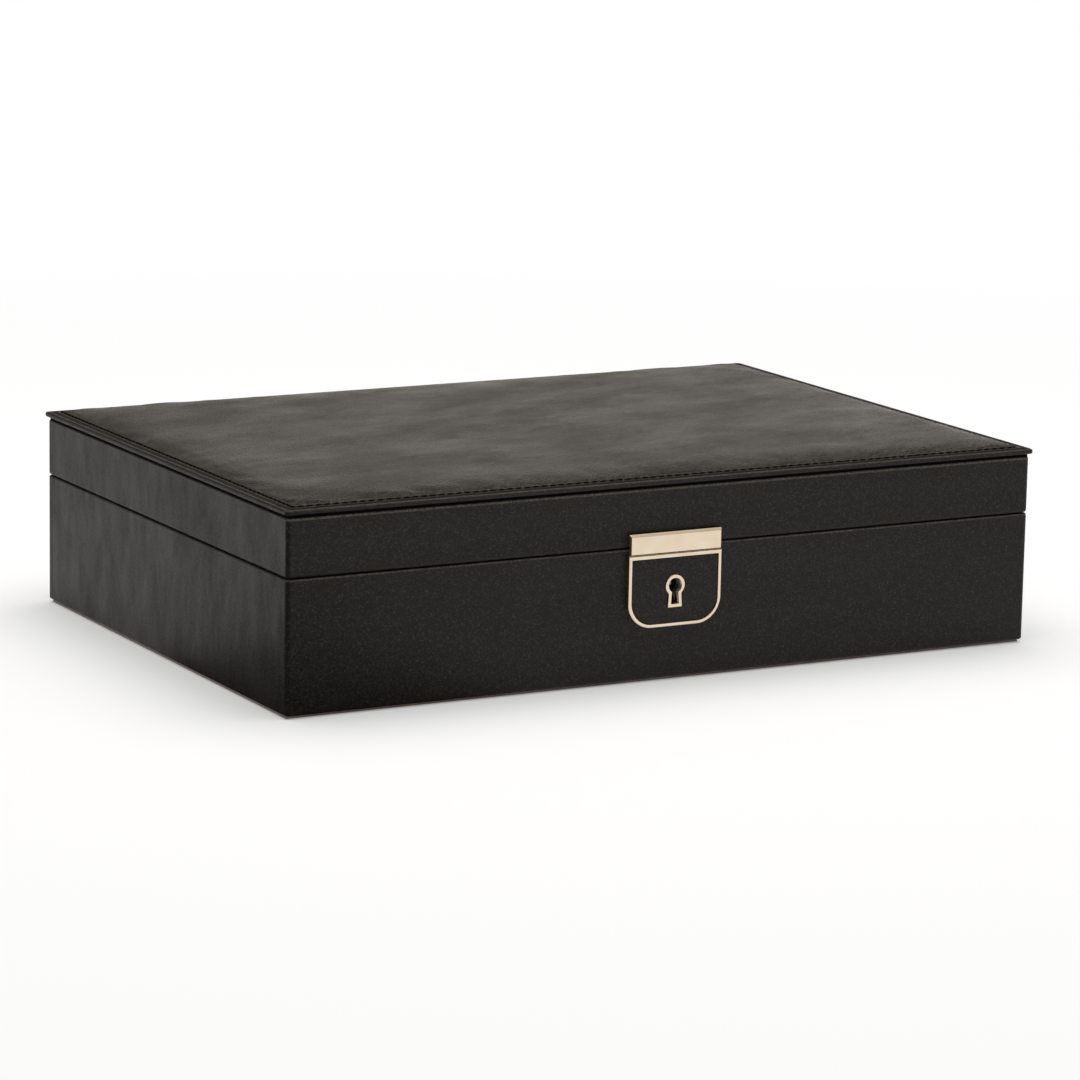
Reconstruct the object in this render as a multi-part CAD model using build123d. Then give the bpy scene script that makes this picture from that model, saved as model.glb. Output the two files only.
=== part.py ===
from build123d import *
import math
import os

# Lockable leather cufflink box: a hinged lid over a fitted tray, a drawer in the right end.
# Millimetres. X runs along the front, Y to the back and Z up.
# The origin is the centre of the base pad's underside.

# Case and lid, measured over the leather
case_width = 305.0
case_depth = 212.5
seam_height = 49.5
seam_gap = 0.3
lid_wall_height = 21.2
corner_radius = 1.8
edge_radius = 0.9
leather = 1.0
board = 7.0
lining = 0.8
lining_step = 0.4
base_pad_thickness = 1.1
base_pad_inset = 1.0
base_board_thickness = 5.0

# Padded top panel
top_board_thickness = 4.0
shadow_gap = 0.9
shadow_inset = 0.7
lip_overhang = 0.97
lip_board_thickness = 1.8
lip_board_radius = 0.7
cover_thickness = 0.75
cover_setback = 0.4
cover_edge_radius = 0.5
panel_corner_radius = 1.3
stitch_inset = 4.6
stitch_groove_width = 1.0
stitch_groove_depth = 0.45
crown_rise = 1.9
crown_run = 38.0
crown_steps = 6
lid_cushion_thickness = 2.6
lid_cushion_crown = 1.4
lid_cushion_run = 24.0
lid_cushion_corner = 4.0

# Tray and its fittings
deck_height = 27.6
deck_thickness = 3.0
divider_thickness = 2.4
divider_height = 13.6
divider_fit = 0.1
cell_columns = 4
cell_rows = 4
cell_zone_width = 189.4
roll_count = 7
roll_pitch = 12.9
roll_radius = 6.25
roll_axis_height = 5.3
roll_end_gap = 0.3
roll_end_bevel = 1.0

# Drawer
drawer_front_width = 160.0
drawer_opening_bottom = 8.0
drawer_opening_top = 26.6
drawer_front_gap = 0.5
drawer_box_width = 152.0
drawer_panel = 4.0
drawer_bottom_thickness = 2.0
drawer_side_drop = 1.2
drawer_travel = 225.0
drawer_running_gap = 0.06
drawer_side_gap = 0.3
drawer_end_gap = 0.5
drawer_divider_count = 2
guide_thickness = 6.0
guide_foot_width = 4.3
stop_width = 40.0
stop_depth = 6.0
stop_drop = 1.6
stop_catch = 0.9
knob_radius = 3.8
knob_neck_radius = 1.9
knob_base_radius = 3.4
knob_base_length = 1.2
knob_base_edge = 0.35
knob_length = 9.4
knob_rim_length = 3.2
knob_rim_edge = 0.6
knob_flare_length = 1.6
knob_face_rise = 0.3
knob_stud_radius = 1.0
knob_stud_length = 6.0

# Hinges
hinge_spacing = 190.0
hinge_width = 30.0
knuckle_count = 3
knuckle_radius = 2.2
knuckle_gap = 0.3
knuckle_play = 0.1
pin_radius = 1.0
pin_fit = 0.05
leaf_thickness = 1.2
leaf_reach = 6.2
lid_opening_angle = 95.0
stop_bar_root = 1.25
stop_bar_start = 2.5
stop_bar_end = 4.6
stop_bar_thickness = 1.4
stop_bar_gap = 0.1

# Lock plate, keyhole and hasp
plate_width = 38.3
plate_bottom = 20.15
plate_top = 47.2
plate_thickness = 2.2
plate_corner_radius = 9.8
plate_edge_bevel = 0.35
plate_rim = 1.4
plate_top_rim = 1.8
plate_recess = 0.9
inlay_thickness = 0.6
inlay_fit = 0.08
keyhole_height = 35.2
keyhole_radius = 2.57
keyhole_neck_height = 32.7
keyhole_neck_width = 2.45
keyhole_foot_height = 28.5
keyhole_foot_width = 3.1
keyhole_passage = 0.5
escutcheon_rim = 1.38
escutcheon_proud = 0.15
hasp_width = 37.7
hasp_bottom = 47.5
hasp_top = 54.8
hasp_thickness = 2.5
hasp_relief = 0.25
hasp_top_bevel = 0.9
hasp_side_bevel = 0.5
hasp_pin_radius = 1.3
hasp_pin_length = 5.0
hasp_pin_spacing = 24.0

# Lock body, bolt and staples
lock_width = 32.0
lock_bottom = 24.0
lock_depth = 5.0
lock_wall = 0.7
lock_cover_thickness = 0.8
selvedge_width = 39.0
selvedge_depth = 6.3
pocket_fit = 0.1
pillar_spacing = 24.8
pillar_height = 27.6
pillar_radius = 1.4
key_post_radius = 0.9
eye_spacing = 14.0
eye_thickness = 1.6
eye_depth = 3.1
eye_hole_width = 1.9
eye_hole_height = 3.1
eye_bar = 0.8
eye_clearance = 0.35
nose_drop = 3.5
nose_width = 1.3
nose_height = 2.0
nose_length = 3.6
nose_gap = 0.4
bolt_travel = 3.4
bolt_arm_width = 1.8
bolt_side_gap = 0.25
bolt_bar_gap = 0.6
bolt_bar_height = 4.6
stud_spacing = 17.0
stud_radius = 0.9
stud_fit = 0.05
bolt_end_margin = 1.2
talon_radius = 2.2
spring_thickness = 0.3
spring_width = 2.2
spring_gap = 0.05
spring_reach = 6.5
spring_drop = 4.5

# Screws: head radius, shank radius and length
hinge_screw = (1.7, 0.75, 6.5)
hinge_screw_count = 2
hinge_screw_pitch = 19.2
hinge_screw_inset = 3.3
lock_screw = (1.5, 0.7, 5.4)
selvedge_screw = (1.4, 0.7, 5.0)
selvedge_screw_inset = 1.7
screw_fit = 0.02

# How far a cutting tool runs past the face it opens, and a fused root into its neighbour
cut_past = 1.0
root_depth = 0.1

# Worked out from the sizes above
wall = leather + board
front_face = -case_depth / 2
back_face = case_depth / 2
end_face = case_width / 2
inner_width = case_width - 2 * wall
inner_depth = case_depth - 2 * wall
case_bottom = base_pad_thickness
case_top = seam_height - seam_gap / 2
lid_bottom = seam_height + seam_gap / 2
lid_top = lid_bottom + lid_wall_height
base_board_top = case_bottom + base_board_thickness
lip_bottom = lid_top + shadow_gap
cover_bottom = lip_bottom + lip_board_thickness
cover_top = cover_bottom + cover_thickness
deck_top = deck_height + deck_thickness
tray_floor = deck_top + lining
tray_width = inner_width - 2 * lining
tray_depth = inner_depth - 2 * lining
hinge_axis_y = back_face + knuckle_radius + knuckle_gap
lock_front = front_face + leather
lock_back = lock_front + lock_depth
lock_cover_front = lock_back - lock_cover_thickness
bolt_depth = lock_cover_front - lock_front - lock_wall - 2 * bolt_side_gap
bolt_y = (lock_front + lock_wall + lock_cover_front) / 2
nose_z = seam_height - nose_drop
eye_bottom = nose_z - eye_hole_height / 2 - eye_bar
bolt_bar_top = eye_bottom - bolt_bar_gap
bolt_bar_bottom = bolt_bar_top - bolt_bar_height
bolt_bar_left = -stud_spacing / 2 - bolt_travel - stud_radius - stud_fit - bolt_end_margin
bolt_bar_right = stud_spacing / 2 + stud_radius + stud_fit + bolt_end_margin
foot_top = drawer_opening_bottom + drawer_running_gap
drawer_floor = foot_top + drawer_running_gap
drawer_sides_top = drawer_opening_top - drawer_side_drop
drawer_front_back = end_face - wall
drawer_box_back = -inner_width / 2 + drawer_end_gap


def block(x0, x1, y0, y1, z0, z1):
    # Square-edged block between two corners
    size = Box(x1 - x0, y1 - y0, z1 - z0)
    return Pos((x0 + x1) / 2, (y0 + y1) / 2, (z0 + z1) / 2) * size


def slab(width, depth, z0, z1, radius=0.0):
    # Plate centred on the Z axis, with rounded vertical corners
    outline = RectangleRounded(width, depth, radius) if radius > 0 else Rectangle(width, depth)
    return extrude(Pos(0, 0, z0) * outline, amount=z1 - z0)


def group(solids):
    # Several separate solids that share one name
    return Compound(children=list(solids))


def facing_front(outline, y):
    # Outline drawn as (x, z), placed upright at depth y and facing the front
    return Plane(origin=(0, y, 0), x_dir=(1, 0, 0), z_dir=(0, -1, 0)) * outline


def front_prism(outline, y_front, y_back):
    # Outline drawn as (x, z), extruded from y_back forward to y_front
    return extrude(facing_front(outline, y_back), amount=y_back - y_front)


def screw(sizes, grow=0.0):
    # Countersunk screw along -Z, its head flush with z = 0
    head, shank, length = sizes
    cone = Cone(shank + grow, head + grow, head - shank, align=(Align.CENTER, Align.CENTER, Align.MAX))
    rod = Cylinder(shank + grow, length + grow, align=(Align.CENTER, Align.CENTER, Align.MAX))
    return cone + rod


# ---------------------------------------------------------------- shells and boards

def leather_shell(z0, z1):
    # Leather wrapped round four wall boards and turned over their rims
    skin = slab(case_width, case_depth, z0, z1, corner_radius)
    rims = skin.edges().group_by(Axis.Z)[0] + skin.edges().group_by(Axis.Z)[-1]
    skin = fillet(rims, edge_radius)
    boards = slab(
        case_width - 2 * leather,
        case_depth - 2 * leather,
        z0 + leather,
        z1 - leather,
        corner_radius - leather,
    )
    return skin - boards - slab(inner_width, inner_depth, z0, z1)


def wall_board(side, z0, z1):
    # One of the four boards inside the leather; the long ones run past the ends
    full = slab(
        case_width - 2 * leather,
        case_depth - 2 * leather,
        z0 + leather,
        z1 - leather,
        corner_radius - leather,
    )
    half_width = inner_width / 2
    half_depth = inner_depth / 2
    cuts = {
        "front": block(-end_face, end_face, front_face, -half_depth, z0, z1),
        "back": block(-end_face, end_face, half_depth, back_face, z0, z1),
        "left": block(-end_face, -half_width, -half_depth, half_depth, z0, z1),
        "right": block(half_width, end_face, -half_depth, half_depth, z0, z1),
    }
    return full & cuts[side]


def wall_lining(z0, z1):
    # Suede glued round the inside of the four walls
    return slab(inner_width, inner_depth, z0, z1) - slab(tray_width, tray_depth, z0, z1)


def drawer_opening():
    half = drawer_front_width / 2 + drawer_front_gap
    x0 = inner_width / 2 - cut_past
    x1 = end_face + cut_past
    return block(x0, x1, -half, half, drawer_opening_bottom, drawer_opening_top)


def base_pad():
    width = case_width - 2 * base_pad_inset
    depth = case_depth - 2 * base_pad_inset
    return slab(width, depth, 0, base_pad_thickness, corner_radius)


# ---------------------------------------------------------------- hinges

def hinge_places():
    return [-hinge_spacing / 2, hinge_spacing / 2]


def hinge_screw_places(x):
    first = -(hinge_screw_count - 1) / 2 * hinge_screw_pitch
    y = back_face - hinge_screw_inset
    return [(x + first + i * hinge_screw_pitch, y) for i in range(hinge_screw_count)]


def knuckle_spans(x, parity):
    # X limits of every second knuckle of a hinge centred at x
    length = hinge_width / knuckle_count
    left = x - hinge_width / 2
    return [
        (left + i * length + knuckle_play / 2, left + (i + 1) * length - knuckle_play / 2)
        for i in range(knuckle_count)
        if i % 2 == parity
    ]


def stop_bar(x0, x1, start):
    # Tail behind the knuckles: the tails of both leaves meet when the lid is fully open
    bar = block(x0, x1, start, stop_bar_end, stop_bar_gap / 2, stop_bar_thickness)
    return Location((0, hinge_axis_y, seam_height), (lid_opening_angle / 2, 0, 0)) * bar


def lid_leaf(x, parity):
    # Leaf let into the lid's rim, with its own knuckles and its tail
    z0 = lid_bottom
    z1 = lid_bottom + leaf_thickness
    half = hinge_width / 2
    leaf = block(x - half, x + half, back_face - leaf_reach, back_face, z0, z1)
    for x0, x1 in knuckle_spans(x, parity):
        knuckle = Rot(0, 90, 0) * Cylinder(knuckle_radius, x1 - x0)
        leaf += Pos((x0 + x1) / 2, hinge_axis_y, seam_height) * knuckle
        leaf += block(x0, x1, back_face - leaf_thickness, hinge_axis_y, z0, z1)
        leaf += stop_bar(x0, x1, stop_bar_root)
    leaf += stop_bar(x - half, x + half, stop_bar_start)
    bore = Rot(0, 90, 0) * Cylinder(pin_radius + pin_fit, hinge_width + 2 * cut_past)
    leaf -= Pos(x, hinge_axis_y, seam_height) * bore
    for sx, sy in hinge_screw_places(x):
        leaf -= Pos(sx, sy, z0) * Rot(180, 0, 0) * screw(hinge_screw, screw_fit)
    return leaf


def case_leaf(x, parity):
    return mirror(lid_leaf(x, parity), Plane.XY.offset(seam_height))


def hinge_pin(x):
    pin = Rot(0, 90, 0) * Cylinder(pin_radius, hinge_width)
    return Pos(x, hinge_axis_y, seam_height) * pin


def lid_hinge_screws(grow=0.0):
    return [
        Pos(sx, sy, lid_bottom) * Rot(180, 0, 0) * screw(hinge_screw, grow)
        for x in hinge_places()
        for sx, sy in hinge_screw_places(x)
    ]


def case_hinge_screws(grow=0.0):
    return [
        Pos(sx, sy, case_top) * screw(hinge_screw, grow)
        for x in hinge_places()
        for sx, sy in hinge_screw_places(x)
    ]


def lid_hinge_pocket():
    # Room for the leaves in the lid's rim
    half = hinge_width / 2 + pocket_fit
    y0 = back_face - leaf_reach - pocket_fit
    z1 = lid_bottom + leaf_thickness
    y1 = back_face + cut_past
    z0 = lid_bottom - cut_past
    leaves = [block(x - half, x + half, y0, y1, z0, z1) for x in hinge_places()]
    return leaves + lid_hinge_screws(screw_fit)


def case_hinge_pocket():
    half = hinge_width / 2 + pocket_fit
    y0 = back_face - leaf_reach - pocket_fit
    z0 = case_top - leaf_thickness
    y1 = back_face + cut_past
    z1 = case_top + cut_past
    leaves = [block(x - half, x + half, y0, y1, z0, z1) for x in hinge_places()]
    return leaves + case_hinge_screws(screw_fit)


# ---------------------------------------------------------------- lock

def keyhole_outline(grow=0.0):
    # Round hole with a foot that widens downwards
    neck = keyhole_neck_width / 2 + grow
    foot = keyhole_foot_width / 2 + grow
    low = keyhole_foot_height - grow
    slot = make_face(
        Polyline(
            (-neck, keyhole_height),
            (-neck, keyhole_neck_height),
            (-foot, low),
            (foot, low),
            (neck, keyhole_neck_height),
            (neck, keyhole_height),
            close=True,
        )
    )
    return Pos(0, keyhole_height) * Circle(keyhole_radius + grow) + slot


def plate_outline(rim=0.0, top_rim=0.0):
    # D-shaped plate: square above, two large rounded corners below
    half = plate_width / 2 - rim
    low = plate_bottom + rim
    high = plate_top - top_rim
    radius = plate_corner_radius - rim
    outline = Pos(0, (low + high) / 2) * Rectangle(2 * half, high - low)
    return fillet(outline.vertices().group_by(Axis.Y)[0], radius)


def pillar_places():
    return [(-pillar_spacing / 2, pillar_height), (pillar_spacing / 2, pillar_height)]


def pillar(x, z, y_front, y_back, radius):
    return front_prism(Pos(x, z) * Circle(radius), y_front, y_back)


def lock_screws(grow=0.0):
    # Two through the wall into the plate's pillars, two down through the lock's top flange
    screws = [
        Pos(x, front_face + wall, z) * Rot(-90, 0, 0) * screw(lock_screw, grow)
        for x, z in pillar_places()
    ]
    x = selvedge_width / 2 - selvedge_screw_inset
    y = lock_front + selvedge_depth / 2
    screws += [Pos(s * x, y, case_top) * screw(selvedge_screw, grow) for s in (-1, 1)]
    return screws


def lock_plate():
    y0 = front_face - plate_thickness
    floor = y0 + plate_recess
    plate = front_prism(plate_outline(), y0, front_face)
    plate = chamfer(plate.edges().group_by(Axis.Y)[0], plate_edge_bevel)
    plate -= front_prism(plate_outline(plate_rim, plate_top_rim), y0 - cut_past, floor)
    plate -= front_prism(keyhole_outline(), y0 - cut_past, front_face + cut_past)
    for x, z in pillar_places():
        plate += pillar(x, z, front_face - root_depth, lock_cover_front, pillar_radius)
    for hole in lock_screws(screw_fit)[:2]:
        plate -= hole
    return plate


def lock_inlay():
    floor = front_face - plate_thickness + plate_recess
    outline = plate_outline(plate_rim + inlay_fit, plate_top_rim + inlay_fit)
    inlay = front_prism(outline, floor - inlay_thickness, floor)
    hole = keyhole_outline(escutcheon_rim + inlay_fit)
    return inlay - front_prism(hole, floor - plate_recess, floor + cut_past)


def keyhole_escutcheon():
    floor = front_face - plate_thickness + plate_recess
    front = front_face - plate_thickness - escutcheon_proud
    ring = front_prism(keyhole_outline(escutcheon_rim), front, floor)
    return ring - front_prism(keyhole_outline(), front - cut_past, floor + cut_past)


def stud_places():
    z = (bolt_bar_top + bolt_bar_bottom) / 2
    return [(-stud_spacing / 2, z), (stud_spacing / 2, z)]


def eye_places():
    return [-eye_spacing / 2, eye_spacing / 2]


def lock_case():
    # Steel tray behind the keyhole, with a flange let into the case's rim
    half = lock_width / 2
    top = case_top - leather
    tray = block(-half, half, lock_front, lock_cover_front, lock_bottom, top)
    tray -= block(
        -half + lock_wall,
        half - lock_wall,
        lock_front + lock_wall,
        lock_cover_front + cut_past,
        lock_bottom + lock_wall,
        top + cut_past,
    )
    flange_half = selvedge_width / 2
    tray += block(-flange_half, flange_half, lock_front, lock_front + selvedge_depth, top, case_top)
    for x in eye_places():
        reach = eye_thickness / 2 + eye_clearance
        deep = eye_depth / 2 + eye_clearance
        tray -= block(x - reach, x + reach, bolt_y - deep, bolt_y + deep, top - cut_past, case_top + cut_past)
    tray -= front_prism(keyhole_outline(), lock_front - cut_past, lock_front + 2 * lock_wall)
    for x, z in pillar_places():
        tray -= pillar(x, z, lock_front - cut_past, lock_front + 2 * lock_wall, pillar_radius + pocket_fit)
    for x, z in stud_places():
        tray += pillar(x, z, lock_front + lock_wall / 2, lock_cover_front, stud_radius)
    for hole in lock_screws(screw_fit)[2:]:
        tray -= hole
    return tray


def lock_cover():
    half = lock_width / 2
    cover = block(-half, half, lock_cover_front, lock_back, lock_bottom, case_top - leather)
    for hole in lock_screws(screw_fit)[:2]:
        cover -= hole
    return cover


def key_post():
    # Pin that a barrel key turns on
    post = pillar(0, keyhole_height, lock_front + lock_wall / 2, lock_cover_front, key_post_radius)
    return chamfer(post.edges().group_by(Axis.Y)[0], key_post_radius / 2)


def lock_bolt():
    # Sliding bar with two noses that pass through the eyes of the lid's staple
    y0 = bolt_y - bolt_depth / 2
    y1 = bolt_y + bolt_depth / 2
    bolt = block(bolt_bar_left, bolt_bar_right, y0, y1, bolt_bar_bottom, bolt_bar_top)
    nose_top = nose_z + nose_height / 2
    for x in eye_places():
        tip = x - eye_thickness / 2 - nose_gap
        root = tip - nose_length
        bolt += block(root - bolt_arm_width, root, y0, y1, bolt_bar_bottom, nose_top)
        nose = block(
            root,
            tip,
            bolt_y - nose_width / 2,
            bolt_y + nose_width / 2,
            nose_z - nose_height / 2,
            nose_top,
        )
        bolt += chamfer(nose.edges().filter_by(Axis.Y).group_by(Axis.X)[-1], nose_width / 4)
    for x, z in stud_places():
        slot = SlotCenterToCenter(bolt_travel, 2 * (stud_radius + stud_fit))
        bolt -= front_prism(Pos(x - bolt_travel / 2, z) * slot, y0 - cut_past, y1 + cut_past)
    talon = Pos(-bolt_travel / 2, bolt_bar_bottom) * Circle(talon_radius)
    return bolt - front_prism(talon, y0 - cut_past, y1 + cut_past)


def lock_spring():
    # Curved strip, fixed at the lock's side, that bears on the bolt's lower edge
    fixed_x = -lock_width / 2 + lock_wall
    tip_x = fixed_x + spring_reach
    tip_z = bolt_bar_bottom - spring_gap
    radius = (spring_reach**2 + spring_drop**2) / (2 * spring_drop)
    half_turn = math.asin(spring_reach / radius) / 2
    middle_x = tip_x - radius * math.sin(half_turn)
    middle_z = tip_z - radius * (1 - math.cos(half_turn))
    outer = [(fixed_x, tip_z - spring_drop), (middle_x, middle_z), (tip_x, tip_z)]
    inner = [(x, z - spring_thickness) for x, z in outer]
    strip = make_face(
        ThreePointArc(*outer)
        + Line(outer[2], inner[2])
        + ThreePointArc(*reversed(inner))
        + Line(inner[0], outer[0])
    )
    return front_prism(strip, bolt_y - spring_width / 2, bolt_y + spring_width / 2)


def hasp_pin_places():
    z = (lid_bottom + hasp_top) / 2
    return [(-hasp_pin_spacing / 2, z), (hasp_pin_spacing / 2, z)]


def hasp_bar():
    half = hasp_width / 2
    y0 = front_face - hasp_thickness
    bar = block(-half, half, y0, front_face, hasp_bottom, hasp_top)
    front_edges = bar.edges().group_by(Axis.Y)[0]
    top_edge = front_edges.group_by(Axis.Z)[-1]
    bar = chamfer(top_edge, hasp_top_bevel)
    side_edges = bar.edges().group_by(Axis.Y)[0].filter_by(Axis.Z)
    bar = chamfer(side_edges, hasp_side_bevel)
    bar -= block(-half, half, front_face - hasp_relief, front_face, hasp_bottom, lid_bottom)
    for x, z in hasp_pin_places():
        bar += pillar(x, z, front_face - hasp_thickness / 2, front_face + hasp_pin_length, hasp_pin_radius)
    return bar


def staple_screws(grow=0.0):
    x = selvedge_width / 2 - selvedge_screw_inset
    y = lock_front + selvedge_depth / 2
    return [Pos(s * x, y, lid_bottom) * Rot(180, 0, 0) * screw(selvedge_screw, grow) for s in (-1, 1)]


def eye_block(x, z0, z1):
    y0 = bolt_y - eye_depth / 2
    return block(x - eye_thickness / 2, x + eye_thickness / 2, y0, y0 + eye_depth, z0, z1)


def staple_eye(x):
    # Flat link riveted into the staple's plate; the bolt's nose passes through its hole
    eye = eye_block(x, eye_bottom, lid_bottom + leather)
    eye = chamfer(eye.edges().filter_by(Axis.X).group_by(Axis.Z)[0], eye_bar / 2)
    return eye - Pos(x, bolt_y, nose_z) * Box(2 * eye_thickness, eye_hole_width, eye_hole_height)


def staple_plate():
    # Plate let into the lid's rim, which carries the two eyes that drop into the lock
    half = selvedge_width / 2
    plate = block(-half, half, lock_front, lock_front + selvedge_depth, lid_bottom, lid_bottom + leather)
    for x in eye_places():
        plate -= eye_block(x, lid_bottom, lid_bottom + leather)
    for hole in staple_screws(screw_fit):
        plate -= hole
    return plate


def flange_pocket(z0, z1):
    # Gap in a leather rim for the lock's flange or the staple's plate
    half = selvedge_width / 2 + pocket_fit
    return block(-half, half, lock_front, lock_front + selvedge_depth + pocket_fit, z0, z1)


# ---------------------------------------------------------------- case

def case_leather():
    skin = leather_shell(case_bottom, case_top) - drawer_opening()
    skin -= flange_pocket(case_top - leather, case_top + cut_past)
    skin -= front_prism(keyhole_outline(keyhole_passage), front_face - cut_past, lock_front)
    for x, z in pillar_places():
        skin -= pillar(x, z, front_face - cut_past, lock_front, pillar_radius + pocket_fit)
    for cut in case_hinge_pocket():
        skin -= cut
    return skin


def case_front_wall():
    front = wall_board("front", case_bottom, case_top)
    half = lock_width / 2 + pocket_fit
    front -= block(-half, half, lock_front, lock_back + pocket_fit, lock_bottom - pocket_fit, case_top)
    for hole in lock_screws(screw_fit):
        front -= hole
    return front


def case_back_wall():
    back = wall_board("back", case_bottom, case_top)
    for cut in case_hinge_pocket():
        back -= cut
    return back


def case_right_wall():
    return wall_board("right", case_bottom, case_top) - drawer_opening()


def tray_lining():
    # Suede over the tray's floor and up its walls
    return wall_lining(deck_top, case_top - lining_step) + slab(tray_width, tray_depth, deck_top, tray_floor)


# ---------------------------------------------------------------- tray fittings

cell_left = -tray_width / 2
cell_right = cell_left + cell_zone_width
cell_width = (cell_zone_width - (cell_columns - 1) * divider_thickness) / cell_columns
cell_depth = (tray_depth - (cell_rows - 1) * divider_thickness) / cell_rows
divider_top = tray_floor + divider_height
divider_middle = tray_floor + divider_height / 2
roll_zone_left = cell_right + divider_thickness
roll_zone_right = tray_width / 2
roll_zone_back = -tray_depth / 2 + roll_count * roll_pitch


def cross_divider_x(i):
    return cell_left + (i + 1) * cell_width + (i + 0.5) * divider_thickness


def long_divider_y(i):
    return -tray_depth / 2 + (i + 1) * cell_depth + (i + 0.5) * divider_thickness


def lap_slot(x, y, z0, z1):
    half = divider_thickness / 2 + divider_fit
    return block(x - half, x + half, y - half, y + half, z0, z1)


def cross_divider(i):
    # Runs from front to back; notched from below where it crosses the long dividers
    half = divider_thickness / 2
    x = cross_divider_x(i)
    y = tray_depth / 2 - divider_fit
    divider = block(x - half, x + half, -y, y, tray_floor, divider_top)
    for j in range(cell_rows - 1):
        divider -= lap_slot(x, long_divider_y(j), tray_floor, divider_middle)
    return divider


def long_divider(j):
    # Runs from the left wall to the main divider; notched from above
    half = divider_thickness / 2
    y = long_divider_y(j)
    x0 = cell_left + divider_fit
    x1 = cell_right - divider_fit
    divider = block(x0, x1, y - half, y + half, tray_floor, divider_top)
    for i in range(cell_columns - 1):
        divider -= lap_slot(cross_divider_x(i), y, divider_middle, divider_top)
    return divider


def main_divider():
    y = tray_depth / 2 - divider_fit
    return block(cell_right, roll_zone_left, -y, y, tray_floor, divider_top)


def watch_divider():
    x0 = roll_zone_left + divider_fit
    x1 = roll_zone_right - divider_fit
    return block(x0, x1, roll_zone_back, roll_zone_back + divider_thickness, tray_floor, divider_top)


def cushion_roll(i):
    # Padded roll on a flat foot; cufflink toggles and rings are held between two rolls
    length = roll_zone_right - roll_zone_left - 2 * roll_end_gap
    y = -tray_depth / 2 + (i + 0.5) * roll_pitch
    z = tray_floor + roll_axis_height
    roll = Rot(0, 90, 0) * Cylinder(roll_radius, length)
    roll = chamfer(roll.edges().filter_by(GeomType.CIRCLE), roll_end_bevel)
    roll = Pos((roll_zone_left + roll_zone_right) / 2, y, z) * roll
    return roll - block(roll_zone_left, roll_zone_right, y - roll_pitch, y + roll_pitch, 0, tray_floor)


# ---------------------------------------------------------------- drawer and its guides

def drawer_guide(side):
    # Wooden rail beside the drawer, with a foot that the drawer slides on
    near = drawer_box_width / 2 + drawer_side_gap
    far = near + guide_thickness
    foot = near - guide_foot_width
    outline = make_face(
        Polyline(
            (side * foot, base_board_top),
            (side * far, base_board_top),
            (side * far, deck_height),
            (side * near, deck_height),
            (side * near, foot_top),
            (side * foot, foot_top),
            close=True,
        )
    )
    profile = Plane(origin=(-inner_width / 2, 0, 0), x_dir=(0, 1, 0), z_dir=(1, 0, 0)) * outline
    return extrude(profile, amount=inner_width)


def drawer_stop():
    # Cleat under the deck that the drawer's back meets when it is fully open
    x0 = drawer_box_back + drawer_panel + drawer_travel + drawer_running_gap
    half = stop_width / 2
    return block(x0, x0 + stop_depth, -half, half, deck_height - stop_drop, deck_height)


def drawer_front_block(inset):
    # Front panel's outline, drawn in by the leather where inset is its thickness
    half = drawer_front_width / 2 - inset
    z0 = drawer_opening_bottom + drawer_front_gap + inset
    z1 = drawer_opening_top - drawer_front_gap - inset
    return block(drawer_front_back, end_face - inset, -half, half, z0, z1)


def knob_height():
    return (drawer_opening_bottom + drawer_opening_top) / 2


def knob_stud(grow=0.0):
    # Stud on the knob's back that screws into the front board
    stud = Rot(0, 90, 0) * Cylinder(knob_stud_radius + grow, knob_stud_length + grow)
    return Pos(end_face - (knob_stud_length + grow) / 2, 0, knob_height()) * stud


def drawer_front():
    return drawer_front_block(leather) - knob_stud(screw_fit)


def drawer_front_leather():
    skin = drawer_front_block(0)
    skin = fillet(skin.edges().group_by(Axis.X)[-1], edge_radius)
    return skin - drawer_front_block(leather) - knob_stud(screw_fit)


def drawer_side(side):
    outer = drawer_box_width / 2
    x0 = drawer_box_back
    y0, y1 = sorted((side * outer, side * (outer - drawer_panel)))
    return block(x0, drawer_front_back, y0, y1, drawer_floor, drawer_sides_top)


def drawer_back():
    # Taller than the opening in the wall, so that the stop catches it
    half = drawer_box_width / 2 - drawer_panel
    top = deck_height - stop_drop + stop_catch
    return block(drawer_box_back, drawer_box_back + drawer_panel, -half, half, drawer_floor, top)


def drawer_bottom():
    half = drawer_box_width / 2 - drawer_panel
    x0 = drawer_box_back + drawer_panel
    return block(x0, drawer_front_back, -half, half, drawer_floor, drawer_floor + drawer_bottom_thickness)


def drawer_lining():
    half = drawer_box_width / 2 - drawer_panel
    x0 = drawer_box_back + drawer_panel
    z0 = drawer_floor + drawer_bottom_thickness
    z1 = drawer_sides_top - lining_step
    outer = block(x0, drawer_front_back, -half, half, z0, z1)
    return outer - block(
        x0 + lining,
        drawer_front_back - lining,
        -half + lining,
        half - lining,
        z0 + lining,
        z1,
    )


def drawer_divider(i):
    x0 = drawer_box_back + drawer_panel + lining
    x1 = drawer_front_back - lining
    free = x1 - x0 - drawer_divider_count * divider_thickness
    x = x0 + (i + 1) * free / (drawer_divider_count + 1) + i * divider_thickness
    half = drawer_box_width / 2 - drawer_panel - lining - divider_fit
    z0 = drawer_floor + drawer_bottom_thickness + lining
    return block(x, x + divider_thickness, -half, half, z0, drawer_sides_top - 2 * lining_step)


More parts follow.
